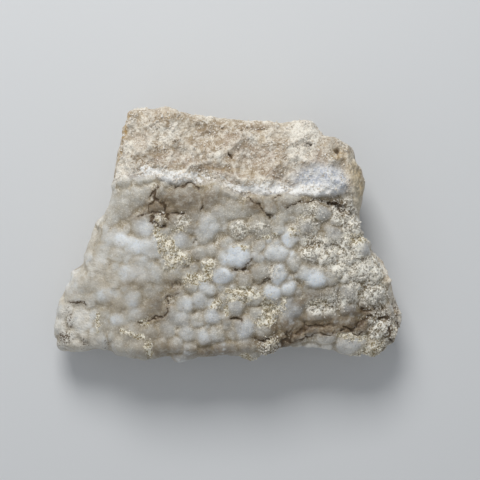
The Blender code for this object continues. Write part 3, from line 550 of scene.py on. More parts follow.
        (47.8, -24.4, 0.8, 3.4, 0, 0.6), (27.2, -14.6, 3.6, 0.8, -6, 0.5), (8.2, -28.8, 3.4, 0.9, 0, 0.5),
        (30.6, 7.6, 2.8, 1.9, 0, 1.0), (47.4, -19.6, 0.8, 1.6, 0, 1.0), (46.0, -22.6, 1.4, 1.2, 0, 0.8),
        (29.6, 1.4, 3.0, 1.6, 0, 0.4), (-29.0, 33.4, 0.8, 1.0, 0, 0.8), (14.6, -28.0, 3.2, 3.2, 0, 0.8),
        (45.0, -11.0, 0.9, 2.4, 0, 0.8), (46.8, -19.6, 0.9, 3.6, 0, 0.8), (34.0, -1.0, 1.2, 1.0, 0, 0.8),
        (33.6, -12.6, 1.6, 1.0, 0, 0.6), (12.4, -30.4, 3.0, 2.0, 0, 1.0), (39.4, -21.2, 3.6, 0.9, 0, 0.8), (49.0, -29.6, 1.4, 1.6, 0, 0.9),
    ),
    Cover.SPECKS: (
        (-44.6, -22.0, 2.6, 3.4, 0, 0.7), (-47.2, -29.4, 3.0, 2.4, 0, 0.75), (-40.0, -30.4, 2.6, 3.4, 0, 0.7),
        (-34.0, -30.2, 2.2, 3.4, 0, 0.7), (-41.6, -18.6, 3.2, 0.7, 0, 1.0), (-44.6, -27.0, 3.4, 3.2, 0, 0.6), (-36.0, -24.0, 3.0, 3.0, 0, 0.4),
        (37.4, -9.4, 5.0, 3.0, -20, 0.6), (44.6, -14.0, 2.0, 5.0, 0, 0.6), (16.0, -11.0, 5.0, 5.0, 0, 0.3),
        (-20.0, 26.0, 9.0, 7.0, 0, 0.4), (6.0, 24.0, 14.0, 7.0, 0, 0.5), (24.0, 23.0, 8.0, 4.0, 0, 0.5),
    ),
    # Painted shade: patches darkened to umber under the ledge and towards the front edge, where the surface turns away
    # from the light; along the crack rows at the lower right they also carry the rows' brown
    Cover.PAINTED_SHADE: (
        (-17.0, 8.2, 5.6, 3.2, 0, 0.9), (-7.0, 8.4, 6.0, 2.8, 0, 0.7), (-23.5, 6.0, 4.4, 2.2, 25, 0.8),
        (-11.0, 3.0, 3.4, 4.0, 0, 0.6), (-17.0, 4.0, 3.0, 2.6, 0, 0.6), (6.4, 8.6, 6.0, 2.0, 0, 0.6),
        (14.4, 8.2, 4.4, 1.8, 0, 0.6), (-20.0, -25.0, 4.0, 4.0, 0, 0.3), (-20.0, -30.0, 6.0, 4.0, 0, 0.4),
        (-18.6, -18.4, 4.4, 3.4, 0, 0.5), (-16.0, -13.8, 3.0, 2.4, 0, 0.7), (8.0, 6.4, 4.0, 2.0, -40, 0.5),
        (27.0, -24.8, 14.0, 2.6, 3, 1.0), (39.0, -22.4, 6.0, 2.8, 10, 0.9), (15.6, -29.2, 4.4, 3.0, 0, 1.0),
        (-17.0, -32.4, 7.0, 2.6, 0, 0.5), (-3.0, -32.0, 7.0, 2.6, 0, 0.6), (8.6, -30.0, 5.0, 2.6, 0, 0.7),
        (29.6, 8.4, 3.6, 2.2, 0, 0.9), (33.0, 4.4, 3.0, 2.4, 0, 0.5), (20.6, -17.0, 5.0, 2.0, 10, 0.6),
        (-26.0, -14.0, 5.0, 1.4, 0, 0.3), (-22.0, -24.0, 4.0, 1.2, 10, 0.5),
        (25.0, -19.4, 9.0, 3.0, 0, 0.6), (34.0, -22.6, 6.0, 3.0, 0, 0.6), (41.6, -21.0, 3.0, 5.0, 0, 0.7),
        (41.0, -27.6, 4.0, 3.0, 0, 0.7), (-21.0, -20.6, 5.0, 3.0, 0, 0.35), (-8.0, 11.4, 12.0, 2.2, 0, 0.45),
        (-10.6, -6.6, 2.6, 2.6, 0, 0.6), (13.6, -25.0, 3.4, 2.6, 0, 0.8), (12.2, -30.0, 2.6, 2.6, 0, 0.9),
        (0.8, -24.3, 2.6, 2.6, 0, 0.5), (-6.0, -31.0, 9.0, 3.0, 0, 0.45), (6.0, -1.6, 3.4, 1.6, 0, 0.5),
        (33.0, -24.6, 9.0, 2.0, 5, 0.8), (22.0, -23.6, 6.0, 2.2, 0, 0.7), (36.0, -12.6, 4.0, 2.4, -20, 0.5), (35.6, -8.0, 2.8, 2.2, 0, 0.5), (6.0, -9.4, 2.6, 2.0, 0, 0.5), (44.6, -27.0, 1.6, 4.0, 0, 0.8),
    ),
    Cover.FROST: (
        (-45.4, -26.6, 6.2, 7.0, 0, 1.0), (-41.0, -20.0, 4.0, 4.0, 0, 0.6), (25.6, -21.4, 5.0, 1.6, 0, 0.6), (-47.4, -18.0, 2.6, 3.0, 0, 0.8), (-44.4, -13.0, 3.4, 2.6, 0, 0.9),
        (18.4, -1.6, 3.0, 2.6, 0, 0.6), (29.0, -7.0, 4.4, 3.0, 0, 0.6), (37.0, -9.0, 4.0, 4.0, -30, 0.5),
        (-39.0, -29.6, 4.4, 3.0, 0, 0.6), (-36.8, 1.4, 1.4, 5.4, -22, 0.9), (-33.4, 12.0, 1.6, 6.0, 0, 0.9),
        (-40.4, -23.4, 3.4, 3.4, 0, 0.5), (34.6, -1.4, 3.4, 2.2, 0, 1.0), (29.0, -2.4, 5.0, 3.4, 0, 0.5),
        (33.0, -9.0, 5.4, 4.4, 0, 0.5), (40.4, -12.0, 3.6, 4.4, 20, 0.8), (31.6, 3.8, 2.4, 1.8, 0, 0.4),
        (17.4, 0.8, 2.2, 1.6, 0, 0.6), (38.0, -31.6, 6.4, 2.2, 0, 0.9), (-13.4, -4.6, 2.4, 4.0, 20, 0.4),
        (35.0, 5.0, 2.0, 5.0, 0, 0.7), (-33.0, -14.0, 5.0, 4.0, 0, 0.4), (24.6, -31.0, 4.4, 1.5, 0, 0.8),
        (-40.0, -8.0, 5.0, 4.0, 0, 0.5), (-33.5, -10.0, 4.0, 3.5, 0, 0.35), (24.0, -30.6, 7.0, 2.0, 4, 0.7),
        (-37.0, -9.4, 4.0, 5.0, 0, 0.4), (-31.0, -3.0, 5.0, 4.0, 0, 0.3),
    ),
    Cover.BARE: (
        (25.7, 6.2, 2.7, 2.6, 0, 1.0), (20.8, 1.7, 2.4, 2.2, 0, 0.8), (29.1, 0.6, 2.6, 2.4, 0, 0.9),
        (37.2, -4.6, 2.3, 2.1, 0, 1.0), (23.4, -5.6, 2.0, 1.8, 0, 0.7), (37.1, -9.7, 2.4, 1.8, 0, 0.5),
        (31.9, -15.7, 2.8, 2.0, 0, 0.8), (33.1, -20.4, 3.0, 1.9, 0, 1.0), (36.5, -25.5, 2.4, 2.0, 0, 0.7),
        (41.0, -17.0, 1.6, 1.6, 0, 0.6), (27.1, -27.7, 2.8, 1.8, 0, 0.9), (33.4, -30.6, 4.6, 2.0, 0, 1.0),
        (18.0, -20.9, 3.6, 3.4, 0, 0.9), (-12.9, -1.2, 1.8, 1.8, 0, 0.8), (4.2, -25.4, 2.8, 2.6, 0, 0.8),
        (39.0, 0.6, 1.2, 2.6, 28, 1.0), (42.2, -5.4, 1.6, 4.0, 30, 1.0), (45.0, -11.6, 1.5, 4.0, 24, 1.0),
        (47.0, -18.0, 1.3, 4.4, 14, 1.0), (35.8, 14.0, 2.4, 8.0, 0, 1.0), (-14.0, -24.6, 5.0, 4.0, 0, 0.5), (22.4, -26.2, 2.2, 1.6, 0, 0.6),
        (2.0, -19.6, 1.8, 1.8, 0, 1.0), (-4.6, -22.2, 2.2, 2.0, 0, 0.8), (-2.0, -11.4, 2.2, 2.0, 0, 0.8),
    ),
}


@dataclass(frozen=True)
class Crust:
    """The crust of rounded lumps, and the broken matrix that stands behind its ledge and outside its rim."""

    stone: SmoothStone = field(default_factory=SmoothStone)
    rise_scale: float = 1.2
    gap_depth: float = 0.8
    far_below: float = -9.0
    fused_at: tuple[float, float] = (-34.0, -14.0)
    fused_reach: float = 15.0
    fused_blend: float = 0.40
    apart_blend: float = 0.10
    fill_cell: float = 3.3
    fill_radius: float = 1.8
    fill_rise: float = 0.5
    wobble: float = 0.6  # how far the lumps' shapes stray from spheres
    apart_share: float = 0.54  # how much of the lumps' relief shows where they stand apart
    fused_share: float = 0.25  # and where the milk has run over them
    small_cell: float = 2.7  # lumps between and on the placed ones
    small_rise: float = 0.42
    tiny_cell: float = 1.25
    tiny_rise: float = 0.17
    crack_share: float = 0.5  # width of the cracks beside those of the part
    crack_depth: float = 0.7
    wobble_cell: float = 2.6
    ledge_soft: float = 0.6
    ledge_wander: float = 2.8
    wall_share: float = 0.45
    ledge_x: tuple[float, ...] = (-60, -36, -28, -22, -17, -13, -9, -5, -2, 2, 8, 14, 18, 23, 28, 32, 60)
    ledge_y: tuple[float, ...] = (
        14, 14, 15, 15.5, 14, 13.6, 13.4, 13.6, 12.6, 10.4, 10.2, 10.8, 10.2, 10, 9.8, 10.6, 11,
    )
    ledge_rise: tuple[float, ...] = (
        0.1, 0.1, 0.2, 0.7, 1.1, 1.1, 0.7, 0.3, 0.2, 0.3, 0.3, 0.5, 1.2, 1.9, 2.0, 0.8, 0.3,
    )
    fringe_share: tuple[float, ...] = (
        0.2, 0.3, 0.5, 0.9, 1, 1, 0.8, 0.4, 0.6, 1, 0.9, 0.9, 1, 1, 0.8, 0.15, 0,
    )
    rim_y: tuple[float, ...] = (-40, -30, -24, -17, -11, -6, -2, 3, 8, 12, 60)
    rim_x: tuple[float, ...] = (49, 47.4, 46.6, 44.6, 42.4, 40.6, 38.4, 35.6, 34, 33.6, 33)
    # Broken faces of the matrix: size and depth of the hollows, those of the part first
    hollows: Rows = ((15.0, 8.0), (7.0, 5.0), (3.4, 2.2))
    fine_hollows: Rows = ((1.9, 1.3), (1.0, 0.45))
    hollow_turn: Rows = ((0.80, 0.58, 0.16), (-0.60, 0.77, 0.22), (0.0, -0.27, 0.96))
    feet: Rows = ((-25, 13, 6.5, 1.6), (23, 14, 6.5, 2.2), (27, -11, 6.5, 2.4), (-26, -10, 6.5, 2.2))
    # Inner corners of the outline, where the relief is held back: x, y, reach, share
    calm: Rows = ((26.0, 28.0, 5.5, 0.75), (45.6, -32.4, 4.5, 0.7))
    # Lumps: x, y, radius, rise above the smooth stone
    lumps: Rows = (
        # milky swelling on the left, its lumps almost run together
        (-23.1, 2.3, 3.8, 1.5), (-32.9, -1.2, 3.4, 1.2), (-29.5, -1.3, 3.0, 1.2), (-26.6, -3.2, 3.2, 1.3),
        (-21.7, -3.3, 4.0, 1.7), (-34.6, -4.6, 2.7, 1.0), (-30.8, -5.6, 2.8, 1.1), (-39.1, -6.4, 3.0, 1.1),
        (-35.6, -7.7, 3.0, 1.2), (-27.7, -10.6, 3.5, 1.5), (-23.9, -11.2, 3.0, 1.3), (-20.3, -10.4, 3.0, 1.2),
        (-23.6, -7.3, 2.6, 0.9), (-34.0, -16.2, 3.3, 1.5), (-26.9, -18.0, 3.0, 1.3), (-44.4, -14.9, 4.4, 1.3),
        (-42.8, -10.4, 3.0, 0.9), (-39.6, -13.6, 3.2, 1.0), (-38.6, -18.0, 2.6, 0.9), (-40.4, -23.6, 3.9, 1.4),
        (-48.0, -20.8, 3.2, 1.0), (-47.8, -25.4, 3.2, 1.0), (-45.2, -29.6, 3.4, 1.0), (-36.2, -29.0, 3.4, 1.1),
        (-31.1, -23.1, 2.8, 1.1), (-25.7, -21.7, 3.1, 1.2), (-20.9, -19.8, 2.8, 1.1), (-21.7, -15.4, 2.8, 1.0),
        (-35.1, -24.7, 2.7, 0.9), (-30.4, -30.6, 3.3, 1.4), (-25.5, -31.0, 3.5, 1.6), (-26.3, -26.4, 3.6, 1.6),
        (-21.7, -27.1, 2.4, 1.2), (-41.4, -31.2, 3.2, 1.0), (-31.4, -12.6, 2.8, 0.9), (-30.4, -17.4, 2.6, 0.8),
        # smooth shoulders under the ledge
        (-29.5, 8.6, 5.2, 0.9), (-33.0, 5.4, 3.6, 0.7), (-24.8, 10.4, 4.0, 0.9), (-12.3, 9.8, 5.2, 1.5),
        (-20.0, 7.6, 2.6, 1.4), (-19.4, 4.2, 2.5, 1.6), (-19.6, 11.4, 2.4, 1.0), (-5.0, 9.6, 3.6, 1.0),
        (1.1, 6.6, 3.4, 1.3), (-2.8, 6.4, 3.2, 1.2), (6.6, 7.4, 3.1, 1.8), (11.3, 7.6, 2.9, 1.5),
        (15.6, 8.6, 3.8, 1.7), (19.6, 6.6, 2.8, 1.2),
        # distinct lumps of the middle
        (-14.6, 3.6, 2.9, 1.4), (-10.0, 5.0, 2.4, 1.1), (-11.1, 1.4, 2.0, 1.0), (-13.2, -1.5, 2.8, 1.7),
        (-18.6, 0.0, 2.5, 1.3), (-11.7, -6.4, 2.1, 1.6), (-16.6, -7.6, 2.5, 1.3), (-14.6, -10.6, 2.3, 1.2),
        (-10.9, -10.9, 2.1, 1.2), (-16.8, -4.2, 2.1, 1.1), (-5.1, 2.7, 4.2, 1.8), (-6.6, 0.4, 3.4, 1.5),
        (2.6, 1.4, 3.1, 1.8), (8.6, 2.0, 3.9, 2.0), (13.7, 2.0, 2.9, 1.5), (2.9, -5.7, 4.3, 2.3),
        (-0.8, -6.0, 3.2, 1.5), (-2.0, -11.1, 3.2, 2.1), (-5.7, -8.3, 2.4, 1.7), (-6.8, -11.6, 2.3, 1.3),
        (-8.0, -4.8, 2.5, 1.3), (-4.8, -3.9, 2.3, 1.1), (4.3, -12.2, 2.7, 1.8), (1.2, -11.3, 2.1, 1.1),
        (8.6, -9.6, 2.9, 1.8), (8.0, -5.9, 2.2, 1.1), (8.3, -3.0, 2.3, 0.9), (13.3, -10.8, 3.1, 1.7),
        (13.2, -4.6, 4.1, 1.9), (16.6, -1.3, 3.0, 1.5), (12.0, -15.4, 3.3, 1.9), (16.2, -14.6, 2.9, 1.5),
        (20.4, -10.0, 2.9, 1.6), (23.4, -11.5, 3.8, 2.2), (17.8, -7.2, 3.0, 1.4), (17.7, 1.1, 1.7, 1.6),
        (20.8, 2.6, 3.0, 1.7), (14.8, 4.6, 2.2, 1.0),
        # lower middle
        (1.7, -20.0, 2.9, 2.0), (-0.9, -16.9, 2.4, 1.4), (3.0, -16.6, 2.2, 1.2), (7.0, -17.0, 2.6, 1.7),
        (4.2, -25.3, 3.8, 2.3), (4.8, -30.2, 2.9, 1.6), (9.2, -25.4, 3.3, 1.9), (7.6, -21.8, 2.5, 1.5),
        (9.8, -31.0, 2.6, 1.2), (6.2, -33.2, 2.5, 1.0), (-4.6, -22.2, 3.1, 1.8), (-8.0, -18.0, 3.2, 1.8),
        (-12.3, -18.9, 2.9, 1.6), (-13.0, -22.6, 2.8, 1.4), (-6.0, -14.5, 2.8, 1.6), (-10.2, -13.7, 2.4, 1.4),
        (-16.2, -21.0, 2.5, 1.1), (-11.8, -27.0, 2.9, 1.5), (-17.1, -25.8, 2.8, 1.3), (-18.4, -30.6, 2.7, 1.3),
        (-14.8, -30.4, 2.6, 1.3), (-11.4, -31.4, 2.6, 1.3), (-13.3, -34.2, 2.8, 1.2), (-6.9, -28.0, 2.8, 1.4),
        (-3.6, -27.4, 2.6, 1.3), (-2.0, -31.4, 3.0, 1.6), (-7.0, -32.0, 2.6, 1.1), (1.4, -31.8, 2.4, 1.1),
        (-20.6, -32.4, 2.3, 1.1), (-8.6, -23.6, 2.4, 1.1), (-0.6, -23.4, 2.2, 1.0),
        # grit-covered right side
        (25.2, 5.8, 3.0, 2.0), (22.2, 6.4, 2.3, 1.2), (22.0, -5.6, 2.7, 1.5), (28.6, -0.2, 3.1, 1.8),
        (29.2, 4.2, 2.1, 1.1), (36.0, -3.6, 2.8, 1.9), (36.3, -10.0, 2.7, 1.6), (33.0, -16.0, 2.9, 1.6),
        (40.2, -16.5, 3.2, 1.9), (32.9, -20.4, 3.0, 1.7), (33.0, -24.4, 2.9, 1.8), (23.0, -16.2, 2.9, 1.4),
        (27.6, -15.8, 2.5, 1.3), (17.3, -20.0, 4.2, 1.9), (16.4, -23.8, 3.0, 1.4), (23.3, -21.8, 2.9, 1.4),
        (27.2, -21.6, 2.4, 1.2), (22.6, -26.3, 2.5, 1.5), (18.5, -28.2, 2.5, 1.5), (26.7, -27.4, 3.0, 1.9),
        (29.8, -23.6, 2.0, 1.0), (36.8, -25.6, 2.3, 1.5), (39.3, -22.6, 2.4, 1.3), (42.3, -26.0, 2.4, 1.2),
        (45.2, -22.0, 2.5, 1.3), (45.4, -26.6, 2.2, 1.0), (40.4, -31.0, 2.8, 1.1), (32.6, -30.6, 5.0, 1.2),
        (30.4, -9.6, 2.8, 1.3), (27.0, -5.8, 2.6, 1.2), (32.0, -5.8, 2.5, 1.1), (34.2, 1.6, 2.2, 0.9),
        (27.6, -11.6, 2.3, 1.2), (40.2, -11.0, 2.4, 1.0),
    )
    # Cracks: depth, half width and the points each runs through
    cracks: tuple[tuple[float, float, Rows], ...] = (
        (1.2, 0.5, ((-15.3, 12.5), (-13.1, 12.9), (-11.5, 14.0), (-10.3, 13.6), (-8.8, 12.9))),
        (1.2, 0.6, ((-19.4, 12.9), (-20.3, 11.8), (-21.3, 10.7))),
        (1.2, 0.7, ((-20.1, 11.6), (-19.9, 9.8), (-18.1, 8.6), (-17.2, 7.1), (-17.2, 4.1))),
        (1.2, 0.5, ((-19.9, 9.8), (-22.1, 8.0), (-21.9, 5.9), (-23.5, 5.5), (-24.9, 4.7))),
        (1.0, 0.5, ((-21.9, 5.9), (-19.5, 5.8), (-17.2, 5.7), (-14.9, 5.9), (-12.4, 5.4))),
        (0.9, 0.5, ((-21.2, 4.7), (-20.3, 2.9), (-17.9, 2.3))),
        (0.8, 0.3, ((-7.2, 9.7), (-7.1, 8.0), (-8.1, 6.4))),
        (0.9, 0.3, ((4.6, 10.0), (8.0, 8.4), (9.6, 6.2), (11.2, 5.0))),
        (1.0, 0.4, ((16.0, 7.1), (19.4, 9.0), (23.7, 9.5), (27.5, 9.0))),
        (0.9, 0.25, ((11.3, 9.8), (14.1, 10.9))),
        (0.9, 0.36, ((-25.4, -23.9), (-21.6, -23.4), (-17.6, -21.8), (-17.0, -17.4), (-14.0, -16.0))),
        (1.0, 0.6, ((1.4, -9.4), (4.8, -9.4), (6.4, -6.6))),
        (1.0, 0.6, ((9.6, -12.7), (11.2, -12.0))),
        (1.0, 0.5, ((0.2, -22.6), (3.2, -23.0))),
        (1.2, 0.6, ((7.4, -28.8), (10.0, -29.4), (12.4, -28.0))),
        (
            1.4, 0.85,
            (
                (14.6, -29.8), (16.5, -28.8), (17.2, -27.2), (19.9, -26.5), (21.3, -25.0), (24.6, -24.8),
                (26.5, -24.8), (27.9, -24.3),
            ),
        ),
        (
            1.0, 0.3,
            (
                (15.6, -28.8), (17.6, -29.2), (19.6, -28.8), (21.0, -28.0), (23.0, -27.9), (25.1, -27.2),
                (27.2, -27.2), (28.9, -26.8), (31.0, -26.8), (32.6, -26.0),
            ),
        ),
        (1.0, 0.6, ((15.3, -26.7), (15.8, -28.4))),
        (1.0, 0.5, ((20.8, -25.3), (21.0, -27.7))),
        (1.0, 0.5, ((24.6, -24.8), (25.1, -26.5))),
        (1.0, 0.5, ((28.7, -24.8), (28.9, -26.7))),
        (1.3, 0.8, ((31.7, -25.3), (33.7, -26.2), (35.1, -25.3), (36.0, -24.3), (37.9, -23.1), (39.4, -22.4))),
        (1.0, 0.4, ((33.7, -26.9), (36.0, -27.4), (37.5, -26.7))),
        (1.3, 0.8, ((37.5, -20.3), (39.6, -20.7), (42.7, -20.3))),
        (1.2, 0.7, ((41.3, -22.9), (43.7, -22.9), (44.6, -23.4))),
        (1.2, 0.8, ((44.4, -26.2), (44.6, -29.1), (45.1, -29.3), (48.9, -29.8))),
        (1.0, 0.7, ((47.7, -23.7), (47.8, -27.2))),
        (0.7, 0.22, ((-44.6, -18.2), (-43.0, -18.9), (-41.4, -18.7), (-40.0, -19.4))),
    )
    # Holes: x, y, radius, depth
    pits: Rows = (
        (29.4, 8.2, 1.7, 2.0), (31.0, 7.2, 1.4, 1.6), (28.0, 8.8, 1.0, 1.4), (22.0, 24.0, 0.9, 1.2),
        (0.6, 21.6, 1.0, 1.2), (3.2, 28.2, 0.7, 0.9), (33.4, 5.8, 0.9, 0.8), (-8.0, 13.9, 0.5, 0.8),
        (17.4, 28.8, 0.7, 0.9), (28.8, 22.2, 1.2, 1.0), (-21.0, 29.6, 0.8, 0.8), (10.4, 30.0, 0.8, 0.8),
        (-13.6, -13.4, 1.0, 0.5), (-10.2, -1.8, 0.6, 0.9), (10.8, 4.6, 0.9, 1.0), (37.0, 18.2, 0.7, 0.8),
    )

    def strayed(self, plan: Points) -> Points:
        """The plan moved by shell-like hollows, so that edges drawn on it come out broken, as x and y rows."""
        flat = np.column_stack([plan, np.zeros(len(plan))])
        shift = np.column_stack([scallops(flat, 4.5, 91), scallops(flat, 4.5, 97)])
        fine = np.column_stack([scallops(flat, 1.9, 93), scallops(flat, 1.9, 99)])
        return plan + self.ledge_wander * shift + 0.4 * self.ledge_wander * fine

    def matrix_share(self, plan: Points) -> Points:
        """1 on the matrix, behind the ledge or outside the rim, and 0 on the crust."""
        x, y = self.strayed(plan).T
        soft = self.ledge_soft
        behind = smooth_step(y - np.interp(x, self.ledge_x, self.ledge_y), -soft, soft)
        outside = smooth_step(x - np.interp(y, self.rim_y, self.rim_x), -soft, soft)
        return np.maximum(behind, outside)

    def fringe(self, plan: Points, middle: float, half: float) -> Points:
        """Crystals along the ledge.

        Args:
            plan: (x, y) rows.
            middle: how far behind the ledge they stand most thickly.
            half: how far they reach from there.

        Returns:
            For each plan point the ledge's own share times a bell of the distance to that line.
        """
        x, y = self.strayed(plan).T
        behind = y - np.interp(x, self.ledge_x, self.ledge_y)
        strength = np.interp(x, self.ledge_x, self.fringe_share)
        return strength * np.exp(-(((behind - middle) / half) ** 2))

    def lattice(self, cell: float, radius: float, rise: float, salt: int) -> Points:
        """Small lumps on a jittered lattice over the crust, as x, y, radius and rise rows."""
        reach = 56.0
        columns, rows = np.meshgrid(
            np.arange(math.floor(-reach / cell), math.ceil(reach / cell)),
            np.arange(math.floor(-39 / cell), math.ceil(19 / cell)),
        )
        cells = np.stack([columns.ravel(), rows.ravel(), np.zeros(columns.size)], axis=1)
        jitter = np.stack([cell_random(cells, salt + i) for i in range(3)], axis=1)
        plan = (cells[:, :2] + 0.5 + 0.38 * jitter[:, :2]) * cell
        size = 1 + 0.25 * jitter[:, 2]
        return np.column_stack([plan, radius * size, rise * size])

    def drawn_in(self, lumps: Points) -> Points:
        """Lumps near the outline moved inwards until they stand out of it by no more than the skin."""
        loop = self.stone.outline.loop()
        nearest = ((lumps[:, None, :2] - loop[None]) ** 2).sum(axis=2).argmin(axis=1)
        inward = Outline.inward(loop)[nearest]
        depth = ((lumps[:, :2] - loop[nearest]) * inward).sum(axis=1)
        wanted = lumps[:, 2] - self.stone.outline.skin
        moved = lumps.copy()
        moved[:, :2] += inward * np.clip(wanted - depth, 0, None)[:, None]
        return moved[depth > -1]

    def lump_relief(
        self, points: Points, normals: Points, lumps: Points, blend: Points, floor: float
    ) -> tuple[Points, Points, Points]:
        """How far along each point's normal the lumps reach.

        Each lump is a sphere. A line from the point along its normal leaves the sphere at
        sqrt(along squared - away squared + radius squared) - along. The lumps run together by a soft maximum,
        blend times the logarithm of the sum of exp(reach / blend), over a floor between them.

        Args:
            points: the smooth stone's points.
            normals: their unit normals.
            lumps: x, y, radius and rise rows.
            blend: how softly the lumps run together, for each point.
            floor: how far the gaps lie below the smooth stone.

        Returns:
            One distance for each point; its nearness to the middle of the lump that it is on, 1 less the squared
            share of the radius; and that nearness times a random strength of the lump, which sets how strongly
            the lump's middle is painted with glow.
        """
        level = self.stone.height(lumps[:, :2])
        middles = np.column_stack([lumps[:, :2], level - lumps[:, 2] + self.rise_scale * lumps[:, 3]])
        strength = 0.6 + 0.4 * cell_random(np.round(lumps[:, :3] * 10), 77)
        total = np.exp(-floor / blend)
        core = np.zeros(len(points))
        glow_share = np.zeros(len(points))
        for middle, radius, share in zip(middles, lumps[:, 2], strength):
            near = np.flatnonzero(np.abs(points - middle).max(axis=1) < radius + 3)
            away = points[near] - middle
            along = (normals[near] * away).sum(axis=1)
            inside = along**2 - (away**2).sum(axis=1) + radius**2
            hit = inside > 0
            near, along, away = near[hit], along[hit], away[hit]
            facing = smooth_step(along, -0.7 * radius, -0.2 * radius)
            reach = (np.sqrt(inside[hit]) - along + floor) * facing - floor
            weight = np.exp(np.clip(reach, self.far_below, None) / blend[near])
            total[near] += weight
            middle_share = np.clip(1 - (away[:, :2] ** 2).sum(axis=1) / radius**2, 0, 1)
            core[near] += weight * middle_share
            glow_share[near] += weight * middle_share * share
        return blend * np.log(total), core / total, glow_share / total

    def blends(self, plan: Points) -> Points:
        """How softly lumps run together: most on the milky swelling at the left, little elsewhere."""
        fused = np.exp(-((plan - self.fused_at) ** 2).sum(axis=1) / (2 * self.fused_reach**2))
        return self.apart_blend + (self.fused_blend - self.apart_blend) * fused

    def crust_relief(self, points: Points, normals: Points, grit: Points) -> dict[str, Points]:
        """Relief of the crust: placed lumps, smaller and tiny lumps on and between them, and lace where it is gritty.

        Args:
            points: the smooth stone's points.
            normals: their unit normals.
            grit: the share of crumbly cover at each point.

        Returns:
            The relief as "crust", and by name the nearness to a lump's middle, that times the lump's strength (how
            strongly a painted glow lights that middle), the share of the milky swelling, the clouding of the small
            lumps, the tops of the tiny ones and the lace.
        """
        fill = self.lattice(self.fill_cell, self.fill_radius, self.fill_rise, 71)
        lumps = self.drawn_in(np.vstack([self.lumps, fill]))
        strayed = points + self.wobble * np.stack(
            [soft_noise(points, self.wobble_cell, 300 + axis) for axis in range(3)], axis=1
        )
        fused = np.exp(-((points[:, :2] - self.fused_at) ** 2).sum(axis=1) / (2 * self.fused_reach**2))
        blend = 0.1 + self.blends(points[:, :2])
        main, core, glow_share = self.lump_relief(strayed, normals, lumps, blend, self.gap_depth)
        main *= self.apart_share + (self.fused_share - self.apart_share) * fused
        on_main = points + 0.5 * main[:, None] * normals
        small, cloud = domes(on_main, self.small_cell, 340, 0.07)
        tiny, _ = domes(on_main, self.tiny_cell, 350, 0.05)
        fine = grains(on_main, 0.66, 355) - 0.45
        lace = np.maximum(ridges(points, 1.9, 0.30, 400), 0.85 * ridges(points, 1.15, 0.34, 410))
        lace *= smooth_step(soft_noise(points, 2.6, 420), -0.5, 0.2)
        rough = self.tiny_rise * (1 + 2.2 * grit) * (1 - 0.5 * fused)
        relief = main + self.small_rise * (1 - 0.35 * fused) * (small - 0.62) + rough * (tiny - 0.62)
        relief += grit * (0.55 * lace + 0.30 * fine) + 0.06 * fine
        found = {"crust": relief, "core": core, "glow_share": glow_share, "fused": fused}
        return found | {"cloud": cloud, "tip": tiny, "lace": lace}

    def matrix_relief(self, points: Points, normals: Points, share: Points) -> Points:
        """Relief of the broken matrix: hollows of several sizes, less deep on the walls, and the ledge's rise."""
        turned = points @ np.array(self.hollow_turn)
        broken = np.zeros(len(points))
        for step, (cell, depth) in enumerate(self.hollows):
            broken += depth * scallops(turned, cell, 11 + 20 * step)
        upright = np.abs(normals[:, 2])
        broken *= self.wall_share + (1 - self.wall_share) * smooth_step(upright, 0.2, 0.8)
        for step, (cell, depth) in enumerate(self.fine_hollows):
            broken += depth * scallops(turned, cell, 151 + 20 * step)
        broken += 0.14 * (grains(points, 0.7, 360) - 0.45) + 0.22 * ridges(turned, 1.9, 0.25, 430)
        rise = np.interp(points[:, 0], self.ledge_x, self.ledge_rise)
        return broken + rise * share * smooth_step(normals[:, 2], 0.1, 0.7)

    def crack_near(self, plan: Points) -> Points:
        """Distance to the nearest crack in half widths, at most 6; more where noise breaks the cracks off."""
        flat = np.column_stack([plan, np.zeros(len(plan))])
        wide = np.column_stack([soft_noise(flat, 1.7, 370), soft_noise(flat, 1.7, 371)])
        fine = np.column_stack([soft_noise(flat, 0.7, 373), soft_noise(flat, 0.7, 374)])
        bent = plan + 0.6 * wide + 0.3 * fine
        breadth = self.crack_share * (1 + 0.5 * soft_noise(flat, 1.3, 375))
        nearest = np.full(len(plan), 6.0)
        for _, width, path in self.cracks:
            nearest = np.minimum(nearest, distance_to_path(bent, np.array(path)) / (breadth * width))
        return nearest + 1.1 * (1 - smooth_step(soft_noise(flat, 1.5, 372), -0.95, -0.3))

    def crack_halo(self, near: Points) -> Points:
        """Brown that has crept out of the cracks: a wide bell of the distance to them."""
        return np.exp(-((near / 4.0) ** 2))

    def pit_depth(self, plan: Points) -> Points:
        """Depth of the holes: each has steep walls, a bell of the fourth power of the distance."""
        flat = np.column_stack([plan, np.zeros(len(plan))])
        wide = np.column_stack([soft_noise(flat, 1.5, 380), soft_noise(flat, 1.5, 381)])
        fine = np.column_stack([soft_noise(flat, 0.6, 382), soft_noise(flat, 0.6, 383)])
        strayed = plan + 0.9 * wide + 0.35 * fine
        total = np.zeros(len(plan))
        for x, y, radius, depth in self.pits:
            away = ((strayed - (x, y)) ** 2 * (1.0, 1.8)).sum(axis=1) / (0.8 * radius) ** 2
            total += depth * np.exp(-(away**2))
        return total


# Meshes


def spread(values: Points, quads: Points, count: int) -> Points:
    """The sum at each of count vertices of the values of its faces."""
    total = np.zeros((count, values.shape[1]))
    for corner in range(4):
        for axis in range(values.shape[1]):
            total[:, axis] += np.bincount(quads[:, corner], values[:, axis], count)
    return total


def unit(vectors: Points) -> Points:
    """Each row at length 1."""
    return vectors / np.linalg.norm(vectors, axis=1, keepdims=True)


